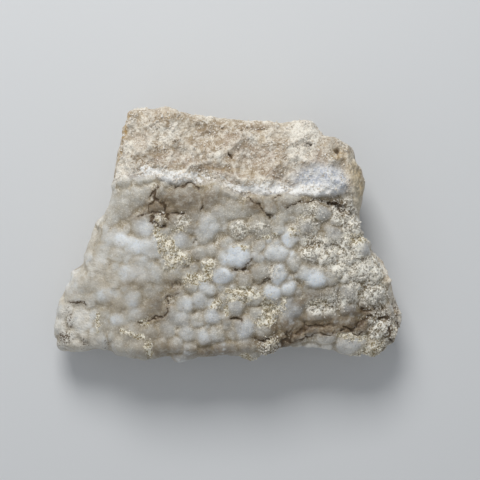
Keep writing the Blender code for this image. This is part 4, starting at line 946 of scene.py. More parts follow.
def averaged(values: Points, quads: Points, rounds: int) -> Points:
    """Values at vertices, averaged with those of their neighbours for some rounds.

    Args:
        values: one row for each vertex.
        quads: the faces; a triangle is a quad with its last corner twice.
        rounds: how many times each vertex takes the mean of its faces' means.

    Returns:
        The averaged rows.
    """
    count = len(values)
    faces = np.bincount(quads.ravel(), minlength=count)[:, None]
    for _ in range(rounds):
        values = spread(values[quads].mean(axis=1), quads, count) / faces
    return values


def new_mesh(name: str, points: Points, faces: list[Points]) -> bpy.types.Object:
    """Makes a mesh object in the scene from points in millimetres.

    Args:
        name: the piece's name.
        points: (x, y, z) rows in millimetres.
        faces: arrays of vertex numbers, one row for each face.

    Returns:
        The object, shaded smooth, at the origin.
    """
    mesh = bpy.data.meshes.new(name)
    corners = np.concatenate([part.ravel() for part in faces]).astype(np.int32)
    sizes = np.concatenate([np.full(len(part), part.shape[1]) for part in faces])
    starts = np.concatenate([[0], sizes.cumsum()[:-1]]).astype(np.int32)
    mesh.vertices.add(len(points))
    mesh.vertices.foreach_set("co", (points * MM).astype(np.float32).ravel())
    mesh.loops.add(len(corners))
    mesh.loops.foreach_set("vertex_index", corners)
    mesh.polygons.add(len(starts))
    mesh.polygons.foreach_set("loop_start", starts)
    mesh.update(calc_edges=True)
    mesh.shade_smooth()
    piece = bpy.data.objects.new(name, mesh)
    bpy.context.scene.collection.objects.link(piece)
    return piece


def keep_values(piece: bpy.types.Object, name: str, values: Points) -> None:
    """Stores one number for each vertex, for the material to read by this name."""
    store = piece.data.attributes.new(name, "FLOAT", "POINT")
    store.data.foreach_set("value", values.astype(np.float32))


@dataclass
class StoneSkin:
    """The stone's whole surface as one closed mesh: a fine top, and walls and an underside half as fine."""

    crust: Crust = field(default_factory=Crust)
    across: int = 300
    up: int = 208
    wall_rows: int = 22
    direction_rounds: int = 60
    settle_rounds: int = 12
    settle_share: float = 0.8
    rest_cut: float = 0.6
    snap: float = 0.06
    margin: float = 0.02  # how far the skin stays inside the part's box

    def grid(self, step: int) -> tuple[Points, Points]:
        """Parameters across and up of a grid that takes every step-th line, row by row from the front."""
        s = np.linspace(0, 1, self.across // step + 1)
        t = np.linspace(0, 1, self.up // step + 1)
        return np.tile(s, len(t)), np.repeat(t, len(s))

    def rim_numbers(self, step: int) -> Points:
        """Vertex numbers of a grid's rim, clockwise from its back left corner."""
        wide, deep = self.across // step, self.up // step
        row = wide + 1
        return np.concatenate([
            deep * row + np.arange(wide),
            np.arange(deep, 0, -1) * row + wide,
            np.arange(wide, 0, -1),
            np.arange(deep) * row,
        ])

    def grid_faces(self, step: int) -> Points:
        """A grid's quads, turned up."""
        wide, deep = self.across // step, self.up // step
        i, j = np.meshgrid(np.arange(wide), np.arange(deep))
        first = (j * (wide + 1) + i).ravel()
        return np.column_stack([first, first + 1, first + wide + 2, first + wide + 1])

    def smooth_surface(self) -> tuple[Points, Points, Points]:
        """Builds the smooth stone's points and faces.

        The top is a grid over the outline. Its rim is joined to a ring with half as many points, from which
        rings run down the wall to the rim of the underside's grid.

        Returns:
            The points, the faces as quads (a triangle has its last corner twice), and 1 for the top's vertices.
        """
        stone = self.crust.stone
        s, t = self.grid(1)
        top = stone.top_surface(s, t)
        s_half, t_half = self.grid(2)
        rim_half = self.rim_numbers(2)
        around_count = len(rim_half)
        downs = np.arange(1, self.wall_rows) / self.wall_rows
        ring_s = np.tile(s_half[rim_half], len(downs))
        ring_t = np.tile(t_half[rim_half], len(downs))
        wall = stone.wall_surface(ring_s, ring_t, np.repeat(downs, around_count))
        under = stone.wall_surface(s_half, t_half, np.ones(len(s_half)))
        points = np.vstack([top, wall, under])
        wall_from = len(top)
        under_from = wall_from + len(wall)
        rings = [wall_from + k * around_count + np.arange(around_count) for k in range(len(downs))]
        rings.append(under_from + rim_half)
        fine = self.rim_numbers(1)
        a, b, c = fine[0::2], fine[1::2], np.roll(fine, -2)[0::2]
        low, low_next = rings[0], np.roll(rings[0], -1)
        faces = [
            self.grid_faces(1),
            np.column_stack([a, b, low, low]),
            np.column_stack([b, low_next, low, low]),
            np.column_stack([b, c, low_next, low_next]),
        ]
        for high, low in zip(rings[:-1], rings[1:]):
            faces.append(np.column_stack([high, np.roll(high, -1), np.roll(low, -1), low]))
        faces.append(under_from + self.grid_faces(2)[:, ::-1])
        is_top = np.zeros(len(points))
        is_top[:wall_from] = 1
        return points, np.vstack(faces), is_top

    def directions(self, points: Points, quads: Points) -> Points:
        """Unit normals, averaged so that they turn slowly over edges."""
        a, b, c, d = (points[quads[:, corner]] for corner in range(4))
        normals = unit(spread(np.cross(c - a, d - b), quads, len(points)))
        return unit(averaged(normals, quads, self.direction_rounds))

    def relief(self, points: Points, normals: Points, covers: dict[Cover, Points]) -> dict[str, Points]:
        """Works out the relief and what the material reads from it.

        Args:
            points: the smooth stone's points.
            normals: its slowly turning normals.
            covers: the share of each cover at each point.

        Returns:
            The distance along the normals as "amount", and what the material reads by name.
        """
        plan = points[:, :2]
        upward = smooth_step(normals[:, 2], -0.35, 0.15)
        matrix = self.crust.matrix_share(plan)
        rock = np.maximum(matrix, 1 - upward)
        grit = np.maximum(covers[Cover.GRIT], covers[Cover.CREAM])
        shaped = self.crust.crust_relief(points, normals, grit)
        broken = self.crust.matrix_relief(points, normals, matrix)
        amount = shaped.pop("crust") * (1 - rock) + broken * rock
        for x, y, reach, share in self.crust.calm:
            amount *= 1 - share * np.exp(-((plan - (x, y)) ** 2).sum(axis=1) / reach**2)
        downward = smooth_step(-normals[:, 2], 0.3, 0.8)
        for x, y, reach, depth in self.crust.feet:
            amount += depth * downward * np.exp(-((plan - (x, y)) ** 2).sum(axis=1) / reach**2)
        near = self.crust.crack_near(plan)
        crack = self.crust.crack_depth * np.exp(-(near**2)) * upward
        pit = self.crust.pit_depth(plan) * upward
        return shaped | {
            "amount": amount - crack - pit,
            "matrix": rock,
            "crack": near + 6 * (1 - upward),
            "pit": pit,
            "halo": self.crust.crack_halo(near) * upward,
            "fringe": self.crust.fringe(plan, 1.7, 1.7) * upward,
            "brink": self.crust.fringe(plan, -0.2, 1.0) * upward,
        }

    def fitted(self, points: Points) -> Points:
        """The points scaled and moved in plan to fill the part's box, and cut flat at its foot."""
        low, high = (np.array(corner) / MM for corner in CAD_BOX)
        own_low, own_high = points.min(axis=0), points.max(axis=0)
        room = high[:2] - low[:2] - 2 * self.margin
        placed = points.copy()
        placed[:, :2] = (points[:, :2] - (own_low + own_high)[:2] / 2) * room / (own_high - own_low)[:2]
        placed[:, :2] += (low + high)[:2] / 2
        placed[:, 2] = np.clip(points[:, 2] - self.rest_cut, 0, high[2] - self.margin)
        placed[placed[:, 2] < self.snap, 2] = 0
        return placed

    def build(self) -> tuple[bpy.types.Object, dict[str, Points]]:
        """Builds the skin with the numbers its material reads.

        Returns:
            The piece, and its points, normals and shares for the grains that grow on it.
        """
        points, quads, is_top = self.smooth_surface()
        normals = self.directions(points, quads)
        upward = smooth_step(normals[:, 2], -0.1, 0.35)
        covers = {cover: patches(points[:, :2], COVER[cover]) * upward for cover in Cover}
        for crumbly in (Cover.GRIT, Cover.CREAM):
            covers[crumbly] *= 1 - 0.9 * covers[Cover.BARE]
        found = self.relief(points, normals, covers)
        raised = points + normals * found["amount"][:, None]
        share = self.settle_share * (1 - upward)[:, None]
        for _ in range(self.settle_rounds):
            raised = raised + share * (averaged(raised, quads, 1) - raised)
        amount = found["amount"][:, None]
        wide = averaged(amount, quads, 110)[:, 0]
        near = averaged(amount, quads, 10)[:, 0]
        hollow = np.clip((wide - found["amount"]) / 0.9, 0, 1)
        groove = np.clip((near - found["amount"]) / 0.3, 0, 1)
        ridge = np.clip((found["amount"] - near) / 0.35, 0, 1)
        final = self.fitted(raised)
        is_triangle = quads[:, 2] == quads[:, 3]
        faces = [quads[~is_triangle], quads[is_triangle][:, :3]]
        skin = new_mesh("stone_skin", final, faces)
        stored = {name: values for name, values in found.items() if name != "amount"}
        stored |= {"hollow": hollow, "groove": groove, "ridge": ridge, "up": upward}
        for name, values in stored.items():
            keep_values(skin, name, values)
        for cover, values in covers.items():
            keep_values(skin, cover.value, values)
        grown = stored | {"points": final, "normals": normals, "top": is_top}
        grown |= {cover.value: values for cover, values in covers.items()}
        return skin, grown


# Materials


class Tree:
    """A node tree being written: adds nodes and links them by socket name."""

    def __init__(self, tree: bpy.types.NodeTree) -> None:
        """Keeps the tree that the nodes go in."""
        self.tree = tree

    def add(self, kind: str, **inputs: object) -> bpy.types.Node:
        """Adds a node and sets or links its inputs.

        Args:
            kind: the node's type name.
            inputs: a value or an output socket for each input, with _ for a space in its name.

        Returns:
            The node.
        """
        node = self.tree.nodes.new(kind)
        for name, value in inputs.items():
            self.put(node.inputs[name.replace("_", " ")], value)
        return node

    def put(self, socket: bpy.types.NodeSocket, value: object) -> None:
        """Links an output socket to an input, or sets the input to a number or a colour."""
        if isinstance(value, bpy.types.NodeSocket):
            self.tree.links.new(value, socket)
        elif isinstance(value, tuple) and len(value) == 3 and socket.type == "RGBA":
            socket.default_value = (*value, 1.0)
        else:
            socket.default_value = value

    def place(self) -> bpy.types.NodeSocket:
        """The place on the piece, in metres."""
        return self.add("ShaderNodeTexCoord").outputs["Object"]

    def stored(self, name: str) -> bpy.types.NodeSocket:
        """A number that the mesh stores for each vertex."""
        node = self.add("ShaderNodeAttribute")
        node.attribute_name = name
        return node.outputs["Fac"]

    def calc(self, kind: str, a: object, b: object = 0.0, c: object = 0.0) -> bpy.types.NodeSocket:
        """One step of arithmetic, clamped to 0 and 1 only where its kind is ADD or MULTIPLY_ADD."""
        node = self.add("ShaderNodeMath")
        node.operation = kind
        node.use_clamp = kind in ("ADD", "MULTIPLY_ADD")
        for socket, value in zip(node.inputs, (a, b, c)):
            self.put(socket, value)
        return node.outputs[0]

    def ramp(self, value: object, low: float, high: float) -> bpy.types.NodeSocket:
        """0 below low, 1 above high, with a smooth rise."""
        node = self.add("ShaderNodeMapRange", Value=value, From_Min=low, From_Max=high)
        node.interpolation_type = "SMOOTHSTEP"
        return node.outputs["Result"]

    def noise(self, place: object, size: float, detail: float = 3.0, rough: float = 0.55) -> bpy.types.NodeSocket:
        """Soft noise of this size in millimetres."""
        node = self.add("ShaderNodeTexNoise", Vector=place, Scale=1 / (size * MM), Detail=detail, Roughness=rough)
        return node.outputs["Fac"]

    def lines(self, place: object, size: float, half: float) -> bpy.types.NodeSocket:
        """Thin wandering lines: 1 where soft noise of this size crosses its middle, and 0 beyond a half width."""
        away = self.calc("ABSOLUTE", self.calc("SUBTRACT", self.noise(place, size, 4.0, 0.65), 0.5))
        return self.calc("SUBTRACT", 1.0, self.ramp(away, 0.3 * half, half))

    def mix(self, share: object, a: object, b: object) -> bpy.types.NodeSocket:
        """Colour a turned to colour b by a share."""
        node = self.add("ShaderNodeMix")
        node.data_type = "RGBA"
        sockets = {socket.name: socket for socket in node.inputs if socket.type == "RGBA"}
        self.put(node.inputs["Factor"], share)
        self.put(sockets["A"], a)
        self.put(sockets["B"], b)
        return next(socket for socket in node.outputs if socket.type == "RGBA")


def new_group(name: str, inputs: tuple[tuple[str, str, object], ...], outputs: tuple[tuple[str, str], ...]) -> Tree:
    """Makes an empty shader node group.

    Args:
        name: the group's name.
        inputs: name, socket type and standing value of each input.
        outputs: name and socket type of each output.

    Returns:
        The group's tree, with its input and output nodes in it.
    """
    group = bpy.data.node_groups.new(name, "ShaderNodeTree")
    for label, kind, value in inputs:
        socket = group.interface.new_socket(name=label, in_out="INPUT", socket_type=kind)
        if value is not None:
            socket.default_value = value
    for label, kind in outputs:
        group.interface.new_socket(name=label, in_out="OUTPUT", socket_type=kind)
    group.nodes.new("NodeGroupInput")
    group.nodes.new("NodeGroupOutput")
    return Tree(group)


FLOAT = "NodeSocketFloat"
COLOUR = "NodeSocketColor"
VECTOR = "NodeSocketVector"


@dataclass(frozen=True)
class SugarGrain:
    """Node group: the fine crystal grain of the stone as a height and as a light and dark mask."""

    name: str = "sugar_grain"

    def build(self) -> bpy.types.NodeTree:
        """Builds the group: the distance to the nearest cell seed at two sizes, mixed with soft noise."""
        tree = new_group(
            self.name,
            (("Place", VECTOR, None), ("Scale", FLOAT, 1600.0)),
            (("Height", FLOAT), ("Sparkle", FLOAT)),
        )
        given, out = tree.tree.nodes["Group Input"], tree.tree.nodes["Group Output"]
        place, scale = given.outputs["Place"], given.outputs["Scale"]
        coarse = tree.add("ShaderNodeTexVoronoi", Vector=place, Scale=scale)
        fine = tree.add("ShaderNodeTexVoronoi", Vector=place, Scale=tree.calc("MULTIPLY", scale, 2.3))
        soft = tree.add("ShaderNodeTexNoise", Vector=place, Scale=tree.calc("MULTIPLY", scale, 0.6), Detail=2.0)
        both = tree.calc("MULTIPLY_ADD", fine.outputs["Distance"], 0.4, coarse.outputs["Distance"])
        height = tree.calc("SUBTRACT", tree.calc("ADD", soft.outputs["Fac"], 0.3), tree.calc("MULTIPLY", both, 0.8))
        tree.put(out.inputs["Height"], height)
        cell = tree.add("ShaderNodeSeparateColor", Color=fine.outputs["Color"])
        tree.put(out.inputs["Sparkle"], cell.outputs["Red"])
        return tree.tree


@dataclass(frozen=True)
class Mottle:
    """Node group: two colours in soft blotches with a finer mottle on them."""

    name: str = "mottle"

    def build(self) -> bpy.types.NodeTree:
        """Builds the group: a smooth step of two sizes of noise mixes colour One into Two."""
        tree = new_group(
            self.name,
            (
                ("Place", VECTOR, None), ("Scale", FLOAT, 200.0), ("Low", FLOAT, 0.4), ("High", FLOAT, 0.6),
                ("One", COLOUR, None), ("Two", COLOUR, None),
            ),
            (("Color", COLOUR), ("Share", FLOAT)),
        )
        given, out = tree.tree.nodes["Group Input"], tree.tree.nodes["Group Output"]
        place, scale = given.outputs["Place"], given.outputs["Scale"]
        wide = tree.add("ShaderNodeTexNoise", Vector=place, Scale=scale, Detail=6.0, Roughness=0.65)
        share = tree.add(
            "ShaderNodeMapRange",
            Value=wide.outputs["Fac"],
            From_Min=given.outputs["Low"],
            From_Max=given.outputs["High"],
        )
        share.interpolation_type = "SMOOTHSTEP"
        blend = share.outputs["Result"]
        tree.put(out.inputs["Color"], tree.mix(blend, given.outputs["One"], given.outputs["Two"]))
        tree.put(out.inputs["Share"], blend)
        return tree.tree


@dataclass(frozen=True)
class Specks:
    """Node group: small separate specks as a mask, from none to many."""

    name: str = "specks"

    def build(self) -> bpy.types.NodeTree:
        """Builds the group: 1 where a fine noise passes a level that falls as Share rises, and 0 elsewhere."""
        tree = new_group(
            self.name,
            (("Place", VECTOR, None), ("Scale", FLOAT, 900.0), ("Share", FLOAT, 0.2)),
            (("Mask", FLOAT),),
        )
        given, out = tree.tree.nodes["Group Input"], tree.tree.nodes["Group Output"]
        fine = tree.add(
            "ShaderNodeTexNoise", Vector=given.outputs["Place"], Scale=given.outputs["Scale"], Detail=3.0, Roughness=0.6
        )
        level = tree.calc("SUBTRACT", 0.82, tree.calc("MULTIPLY", given.outputs["Share"], 0.36))
        over = tree.calc("SUBTRACT", fine.outputs["Fac"], level)
        tree.put(out.inputs["Mask"], tree.ramp(over, 0.0, 0.05))
        return tree.tree


@dataclass(frozen=True)
class Lacework:
    """Node group: a ragged net of thin threads as a mask, open or dense."""

    name: str = "lacework"

    def build(self) -> bpy.types.NodeTree:
        """Builds the group: where the noisy distance to the nearest cell seed passes a level, and level lines of noise."""
        tree = new_group(
            self.name,
            (("Place", VECTOR, None), ("Scale", FLOAT, 1000.0), ("Level", FLOAT, 0.5)),
            (("Mask", FLOAT),),
        )
        given, out = tree.tree.nodes["Group Input"], tree.tree.nodes["Group Output"]
        place, scale = given.outputs["Place"], given.outputs["Scale"]
        coarse = tree.add("ShaderNodeTexVoronoi", Vector=place, Scale=scale)
        fine = tree.add("ShaderNodeTexVoronoi", Vector=place, Scale=tree.calc("MULTIPLY", scale, 1.9))
        soft = tree.add("ShaderNodeTexNoise", Vector=place, Scale=tree.calc("MULTIPLY", scale, 0.8), Detail=4.0)
        both = tree.calc("MULTIPLY_ADD", fine.outputs["Distance"], 0.4, tree.calc("MULTIPLY", soft.outputs["Fac"], 0.7))
        both = tree.calc("MULTIPLY_ADD", coarse.outputs["Distance"], 0.5, tree.calc("SUBTRACT", both, 0.3))
        over = tree.calc("SUBTRACT", both, given.outputs["Level"])
        bent = tree.add("ShaderNodeTexNoise", Vector=place, Scale=tree.calc("MULTIPLY", scale, 1.2), Detail=3.0)
        away = tree.calc("ABSOLUTE", tree.calc("SUBTRACT", bent.outputs["Fac"], 0.5))
        threads = tree.calc("SUBTRACT", 1.0, tree.ramp(away, 0.008, 0.034))
        tree.put(out.inputs["Mask"], tree.calc("MAXIMUM", threads, tree.ramp(over, -0.05, 0.07)))
        return tree.tree


@dataclass
class Groups:
    """The node groups, each built once for all the materials."""

    grain: bpy.types.NodeTree = field(default_factory=lambda: SugarGrain().build())
    mottle: bpy.types.NodeTree = field(default_factory=lambda: Mottle().build())
    specks: bpy.types.NodeTree = field(default_factory=lambda: Specks().build())
    lacework: bpy.types.NodeTree = field(default_factory=lambda: Lacework().build())


def use_group(tree: Tree, group: bpy.types.NodeTree, **inputs: object) -> bpy.types.Node:
    """Places a group in a material with its own values, and returns its node."""
    node = tree.tree.nodes.new("ShaderNodeGroup")
    node.node_tree = group
    for name, value in inputs.items():
        tree.put(node.inputs[name.replace("_", " ")], value)
    return node


def new_material(name: str) -> tuple[bpy.types.Material, Tree, bpy.types.Node]:
    """A new material with its tree and its Principled shader."""
    material = bpy.data.materials.new(name)
    material.use_nodes = True
    return material, Tree(material.node_tree), material.node_tree.nodes["Principled BSDF"]


Colour = tuple[float, float, float]


@dataclass(frozen=True)
class StoneFinish:
    """The stone's surface: waxy milky crust with a painted glow in its lumps, cream and brown between its lumps, the
    brown partly painted shade, and sugary matrix.
    """

    cap: Colour = (0.515, 0.50, 0.452)
    cloud: Colour = (0.46, 0.425, 0.355)
    painted_glow: Colour = (0.80, 0.855, 0.91)
    painted_middle_light: Colour = (0.60, 0.60, 0.575)
    gap_shade_and_pore: Colour = (0.31, 0.245, 0.145)
    warm: Colour = (0.43, 0.355, 0.255)
    tint_and_shade: Colour = (0.46, 0.378, 0.255)
    cream: Colour = (0.94, 0.90, 0.78)
    cream_dark: Colour = (0.33, 0.27, 0.16)
    grit_grey: Colour = (0.22, 0.185, 0.12)
    bare: Colour = (0.43, 0.44, 0.45)
    # Brown of the stains round the cracks, also used as painted shade
    umber_and_shade: Colour = (0.19, 0.137, 0.077)
    frost: Colour = (0.85, 0.83, 0.77)
    lace: Colour = (0.95, 0.92, 0.83)
    beige: Colour = (0.575, 0.488, 0.362)
    tan: Colour = (0.345, 0.26, 0.17)
    rose: Colour = (0.45, 0.35, 0.28)
    white: Colour = (0.89, 0.85, 0.76)
    quartz: Colour = (0.57, 0.61, 0.685)
    rim: Colour = (0.95, 0.95, 0.93)
    ochre: Colour = (0.43, 0.27, 0.085)
    sand: Colour = (0.57, 0.49, 0.345)
    brown: Colour = (0.105, 0.066, 0.032)
    depth: float = 0.0022  # how deep light goes into the stone, in metres
    clearness: float = 0.82  # share of the light that goes into the waxy crust, beside its grit and matrix

    def crust(self, tree: Tree, place: bpy.types.NodeSocket, groups: Groups) -> bpy.types.NodeSocket:
        """Colour of the crust: clouded milk, a painted glow and painted lighter middles in the lumps, tan gaps with
        painted shade, and cream lace and crumbs on them.
        """
        core, cloud = tree.stored("core"), tree.stored("cloud")
        colour = use_group(
            tree, groups.mottle, Place=place, Scale=320.0, Low=0.38, High=0.62, One=self.cap, Two=self.cloud
        ).outputs["Color"]
        # Painted shade: tan and brown away from the lump middles, in the hollows and in the grooves, where shade falls
        # between the lumps
        gap = tree.calc("SUBTRACT", 1.0, tree.ramp(core, 0.05, 0.62))
        sunk = tree.calc("MULTIPLY", gap, tree.ramp(tree.noise(place, 2.2), 0.3, 0.55))
        sunk = tree.calc("MAXIMUM", sunk, tree.ramp(tree.stored("hollow"), 0.3, 0.9))
        sunk = tree.calc("MAXIMUM", sunk, tree.calc("MULTIPLY", tree.stored("groove"), 0.8))
        apart = tree.calc("MULTIPLY_ADD", tree.stored("fused"), -0.75, 1.0)
        warm = tree.calc("MULTIPLY", tree.stored("warm"), tree.ramp(tree.noise(place, 1.9), 0.3, 0.62))
        colour = tree.mix(tree.calc("MULTIPLY", warm, 0.65), colour, self.warm)
        # Painted light: the middles of the lumps turned a lighter grey, as where light falls on them
        painted_middle_light = tree.calc("MULTIPLY", tree.ramp(tree.calc("MULTIPLY_ADD", cloud, 0.5, core), 0.45, 1.0), 0.55)
        painted_middle_light = tree.calc("MULTIPLY", painted_middle_light, tree.ramp(tree.noise(place, 1.5, 4.0), 0.3, 0.6))
        colour = tree.mix(painted_middle_light, colour, self.painted_middle_light)
        # Painted glow: bluish white in the middles of the lumps on the milk patches, standing for light shone through
        # the waxy crust
        milk = tree.calc("MULTIPLY_ADD", tree.stored("milk"), 1.15, 0.03)
        shape = tree.calc("MULTIPLY_ADD", cloud, 0.4, tree.calc("MULTIPLY", tree.stored("glow_share"), 1.7))
        colour = tree.mix(tree.calc("MULTIPLY", milk, shape), colour, self.painted_glow)
        bare = tree.calc("MULTIPLY", tree.stored("bare"), tree.ramp(tree.noise(place, 1.2, 4.0), 0.2, 0.5))
        colour = tree.mix(tree.calc("MULTIPLY", bare, 0.75), colour, self.bare)
        # Painted shade: umber over the painted-shade patches under the ledge and towards the front edge
        painted_shade = tree.calc("MULTIPLY", tree.stored("painted_shade"), tree.ramp(tree.noise(place, 1.7, 4.0), 0.22, 0.56))
        colour = tree.mix(tree.calc("MULTIPLY", painted_shade, 0.85), colour, self.umber_and_shade)
        frost = tree.calc("MULTIPLY", tree.stored("frost"), tree.ramp(tree.noise(place, 2.2, 3.0), 0.28, 0.56))
        colour = tree.mix(tree.calc("MULTIPLY", frost, 0.9), colour, self.frost)
        grit, lace = tree.stored("grit"), tree.stored("lace")
        grey = tree.calc("MULTIPLY", grit, tree.ramp(tree.noise(place, 1.4), 0.22, 0.5))
        colour = tree.mix(tree.calc("MULTIPLY", grey, 0.92), colour, self.grit_grey)
        soft = tree.calc("MULTIPLY", tree.ramp(tree.noise(place, 5.0, 4.0), 0.4, 0.62), tree.stored("fused"))
        colour = tree.mix(tree.calc("MULTIPLY", tree.calc("MAXIMUM", soft, sunk), 0.5), colour, self.tint_and_shade)
        colour = tree.mix(tree.calc("MULTIPLY", tree.calc("MULTIPLY", sunk, apart), 0.6), colour, self.gap_shade_and_pore)
        colour = tree.mix(tree.calc("MULTIPLY", tree.stored("halo"), 0.6), colour, self.umber_and_shade)
        pores = tree.ramp(tree.noise(place, 0.6, 4.0, 0.7), 0.56, 0.68)
        pores = tree.calc("MULTIPLY", pores, tree.calc("MULTIPLY_ADD", apart, 0.38, 0.12))
        colour = tree.mix(pores, colour, self.gap_shade_and_pore)
        rime = tree.ramp(tree.noise(place, 0.38, 3.0, 0.7), 0.52, 0.64)
        rime = tree.calc("MULTIPLY", rime, tree.calc("MULTIPLY_ADD", apart, 0.40, 0.12))
        rime = tree.calc("MULTIPLY", rime, tree.calc("MULTIPLY_ADD", tree.stored("painted_shade"), -0.75, 1.0))
        colour = tree.mix(rime, colour, self.lace)
        holes = tree.ramp(tree.noise(place, 1.5, 4.0, 0.65), 0.53, 0.62)
        holes = tree.calc("MAXIMUM", holes, tree.ramp(tree.noise(place, 4.2, 5.0, 0.7), 0.53, 0.6))
        holes = tree.calc("MULTIPLY", grit, holes)
        # Painted shade: umber deep in the recesses of the gritty cover
        deep = tree.calc("MULTIPLY", tree.calc("MULTIPLY", sunk, grit), tree.ramp(tree.noise(place, 2.6), 0.36, 0.56))
        holes = tree.calc("MAXIMUM", holes, deep)
        holes = tree.calc("MULTIPLY", holes, tree.calc("MULTIPLY_ADD", tree.stored("frost"), -0.75, 1.0))
        colour = tree.mix(tree.calc("MULTIPLY", holes, 0.88), colour, self.umber_and_shade)
        level = tree.calc("MULTIPLY_ADD", grit, -0.08, 0.61)
        level = tree.calc("MULTIPLY_ADD", holes, 0.2, level)
        level = tree.calc("MULTIPLY_ADD", tree.stored("frost"), -0.09, level)
        net = use_group(tree, groups.lacework, Place=place, Scale=820.0, Level=level).outputs["Mask"]
        webs = tree.calc("MAXIMUM", net, tree.ramp(lace, 0.62, 0.95))
        spare = tree.calc("MULTIPLY", gap, tree.ramp(tree.noise(place, 4.0), 0.42, 0.6))
        spare = tree.calc("MULTIPLY", spare, tree.calc("MULTIPLY", apart, 0.75))
        where = tree.calc("MAXIMUM", tree.ramp(grit, 0.1, 0.5), spare)
        colour = tree.mix(tree.calc("MULTIPLY", webs, where), colour, self.lace)
        cream = tree.calc("MULTIPLY", tree.stored("cream"), tree.calc("MULTIPLY_ADD", core, -0.45, 1.0))
        crumbs = tree.ramp(tree.calc("MULTIPLY_ADD", cream, 0.42, tree.noise(place, 1.3, 4.0, 0.7)), 0.58, 0.68)
        froth = use_group(tree, groups.lacework, Place=place, Scale=900.0, Level=0.555).outputs["Mask"]
        body = tree.mix(froth, self.cream_dark, self.cream)
        return tree.mix(tree.calc("MULTIPLY", crumbs, tree.ramp(cream, 0.04, 0.25)), colour, body)

    def matrix(self, tree: Tree, place: bpy.types.NodeSocket, groups: Groups) -> bpy.types.NodeSocket:
        """Colour of the broken matrix: beige and tan blotches with rose, white, blue quartz and ochre patches, painted
        shade in its grooves and a painted highlight on its ridges.
        """
        colour = use_group(
            tree, groups.mottle, Place=place, Scale=200.0, Low=0.42, High=0.57, One=self.tan, Two=self.beige
        ).outputs["Color"]
        rough = tree.noise(place, 2.6, 5.0, 0.6)
        wide = tree.noise(place, 6.5, 4.0, 0.6)
        colour = tree.mix(tree.calc("MULTIPLY", tree.ramp(wide, 0.48, 0.58), 0.7), colour, self.tan)
        colour = tree.mix(tree.calc("MULTIPLY", tree.ramp(wide, 0.5, 0.40), 0.55), colour, self.white)
        rose = tree.calc("MULTIPLY", tree.stored("rose"), tree.ramp(rough, 0.36, 0.56))
        colour = tree.mix(tree.calc("MULTIPLY", rose, 0.85), colour, self.rose)
        # Painted shade: tan in the grooves of the broken faces
        colour = tree.mix(tree.calc("MULTIPLY", tree.stored("groove"), 0.4), colour, self.tan)
        pale = tree.ramp(tree.calc("MULTIPLY_ADD", tree.stored("pale"), 0.38, rough), 0.59, 0.74)
        colour = tree.mix(pale, colour, self.white)
        shard = use_group(tree, groups.grain, Place=place, Scale=420.0).outputs["Sparkle"]
        colour = tree.mix(tree.calc("MULTIPLY", tree.ramp(shard, 0.6, 0.95), 0.45), colour, self.white)
        dark = use_group(tree, groups.grain, Place=place, Scale=360.0).outputs["Sparkle"]
        colour = tree.mix(tree.calc("MULTIPLY", tree.ramp(dark, 0.6, 0.95), 0.4), colour, self.tan)
        sugar = tree.ramp(tree.noise(place, 1.0, 4.0, 0.65), 0.56, 0.64)
        colour = tree.mix(tree.calc("MULTIPLY", sugar, 0.65), colour, self.white)
        crumb = tree.noise(place, 0.45, 4.0, 0.7)
        coarse = tree.ramp(tree.noise(place, 2.2, 3.0), 0.4, 0.6)
        light = tree.calc("MULTIPLY", tree.ramp(crumb, 0.52, 0.60), tree.calc("MULTIPLY_ADD", coarse, 0.45, 0.15))
        colour = tree.mix(light, colour, self.white)
        colour = tree.mix(tree.calc("MULTIPLY", tree.ramp(crumb, 0.47, 0.39), 0.4), colour, self.tan)
        facet = tree.noise(place, 1.7, 2.0, 0.8)
        colour = tree.mix(tree.calc("MULTIPLY", tree.ramp(facet, 0.56, 0.60), 0.5), colour, self.white)
        shade = tree.ramp(tree.noise(place, 1.3, 5.0, 0.65), 0.56, 0.64)
        colour = tree.mix(tree.calc("MULTIPLY", shade, 0.6), colour, self.tan)
        strip = tree.calc("MULTIPLY", tree.stored("brink"), tree.ramp(tree.noise(place, 1.6, 4.0), 0.3, 0.55))
        colour = tree.mix(tree.calc("MULTIPLY", strip, 0.8), colour, self.bare)
        fringe = tree.calc("MULTIPLY_ADD", tree.stored("fringe"), 0.45, tree.noise(place, 1.2, 4.0, 0.65))
        # Painted highlight: white on the sharp ridges of the broken faces, where light catches them
        ridge_highlight = tree.calc("MULTIPLY", tree.stored("ridge"), tree.ramp(rough, 0.4, 0.6))
        colour = tree.mix(tree.calc("MULTIPLY", ridge_highlight, 0.7), colour, self.white)
        clear = tree.calc("MULTIPLY", tree.stored("quartz"), tree.ramp(tree.noise(place, 2.4, 4.0), 0.24, 0.44))
        streaks = use_group(tree, groups.lacework, Place=place, Scale=520.0, Level=0.52).outputs["Mask"]
        body = tree.mix(tree.calc("MULTIPLY", streaks, 0.6), self.quartz, self.rim)
        colour = tree.mix(tree.calc("MULTIPLY", clear, 0.9), colour, body)
        colour = tree.mix(tree.ramp(fringe, 0.70, 0.86), colour, self.rim)
        sand = tree.calc("MULTIPLY", tree.stored("warm"), tree.ramp(tree.noise(place, 1.6, 4.0), 0.2, 0.5))
        colour = tree.mix(tree.calc("MULTIPLY", sand, 0.85), colour, self.sand)
        ochre = tree.calc("MULTIPLY", tree.stored("ochre"), tree.ramp(tree.noise(place, 1.1, 4.0), 0.34, 0.6))
        return tree.mix(tree.calc("MULTIPLY", ochre, 0.85), colour, self.ochre)

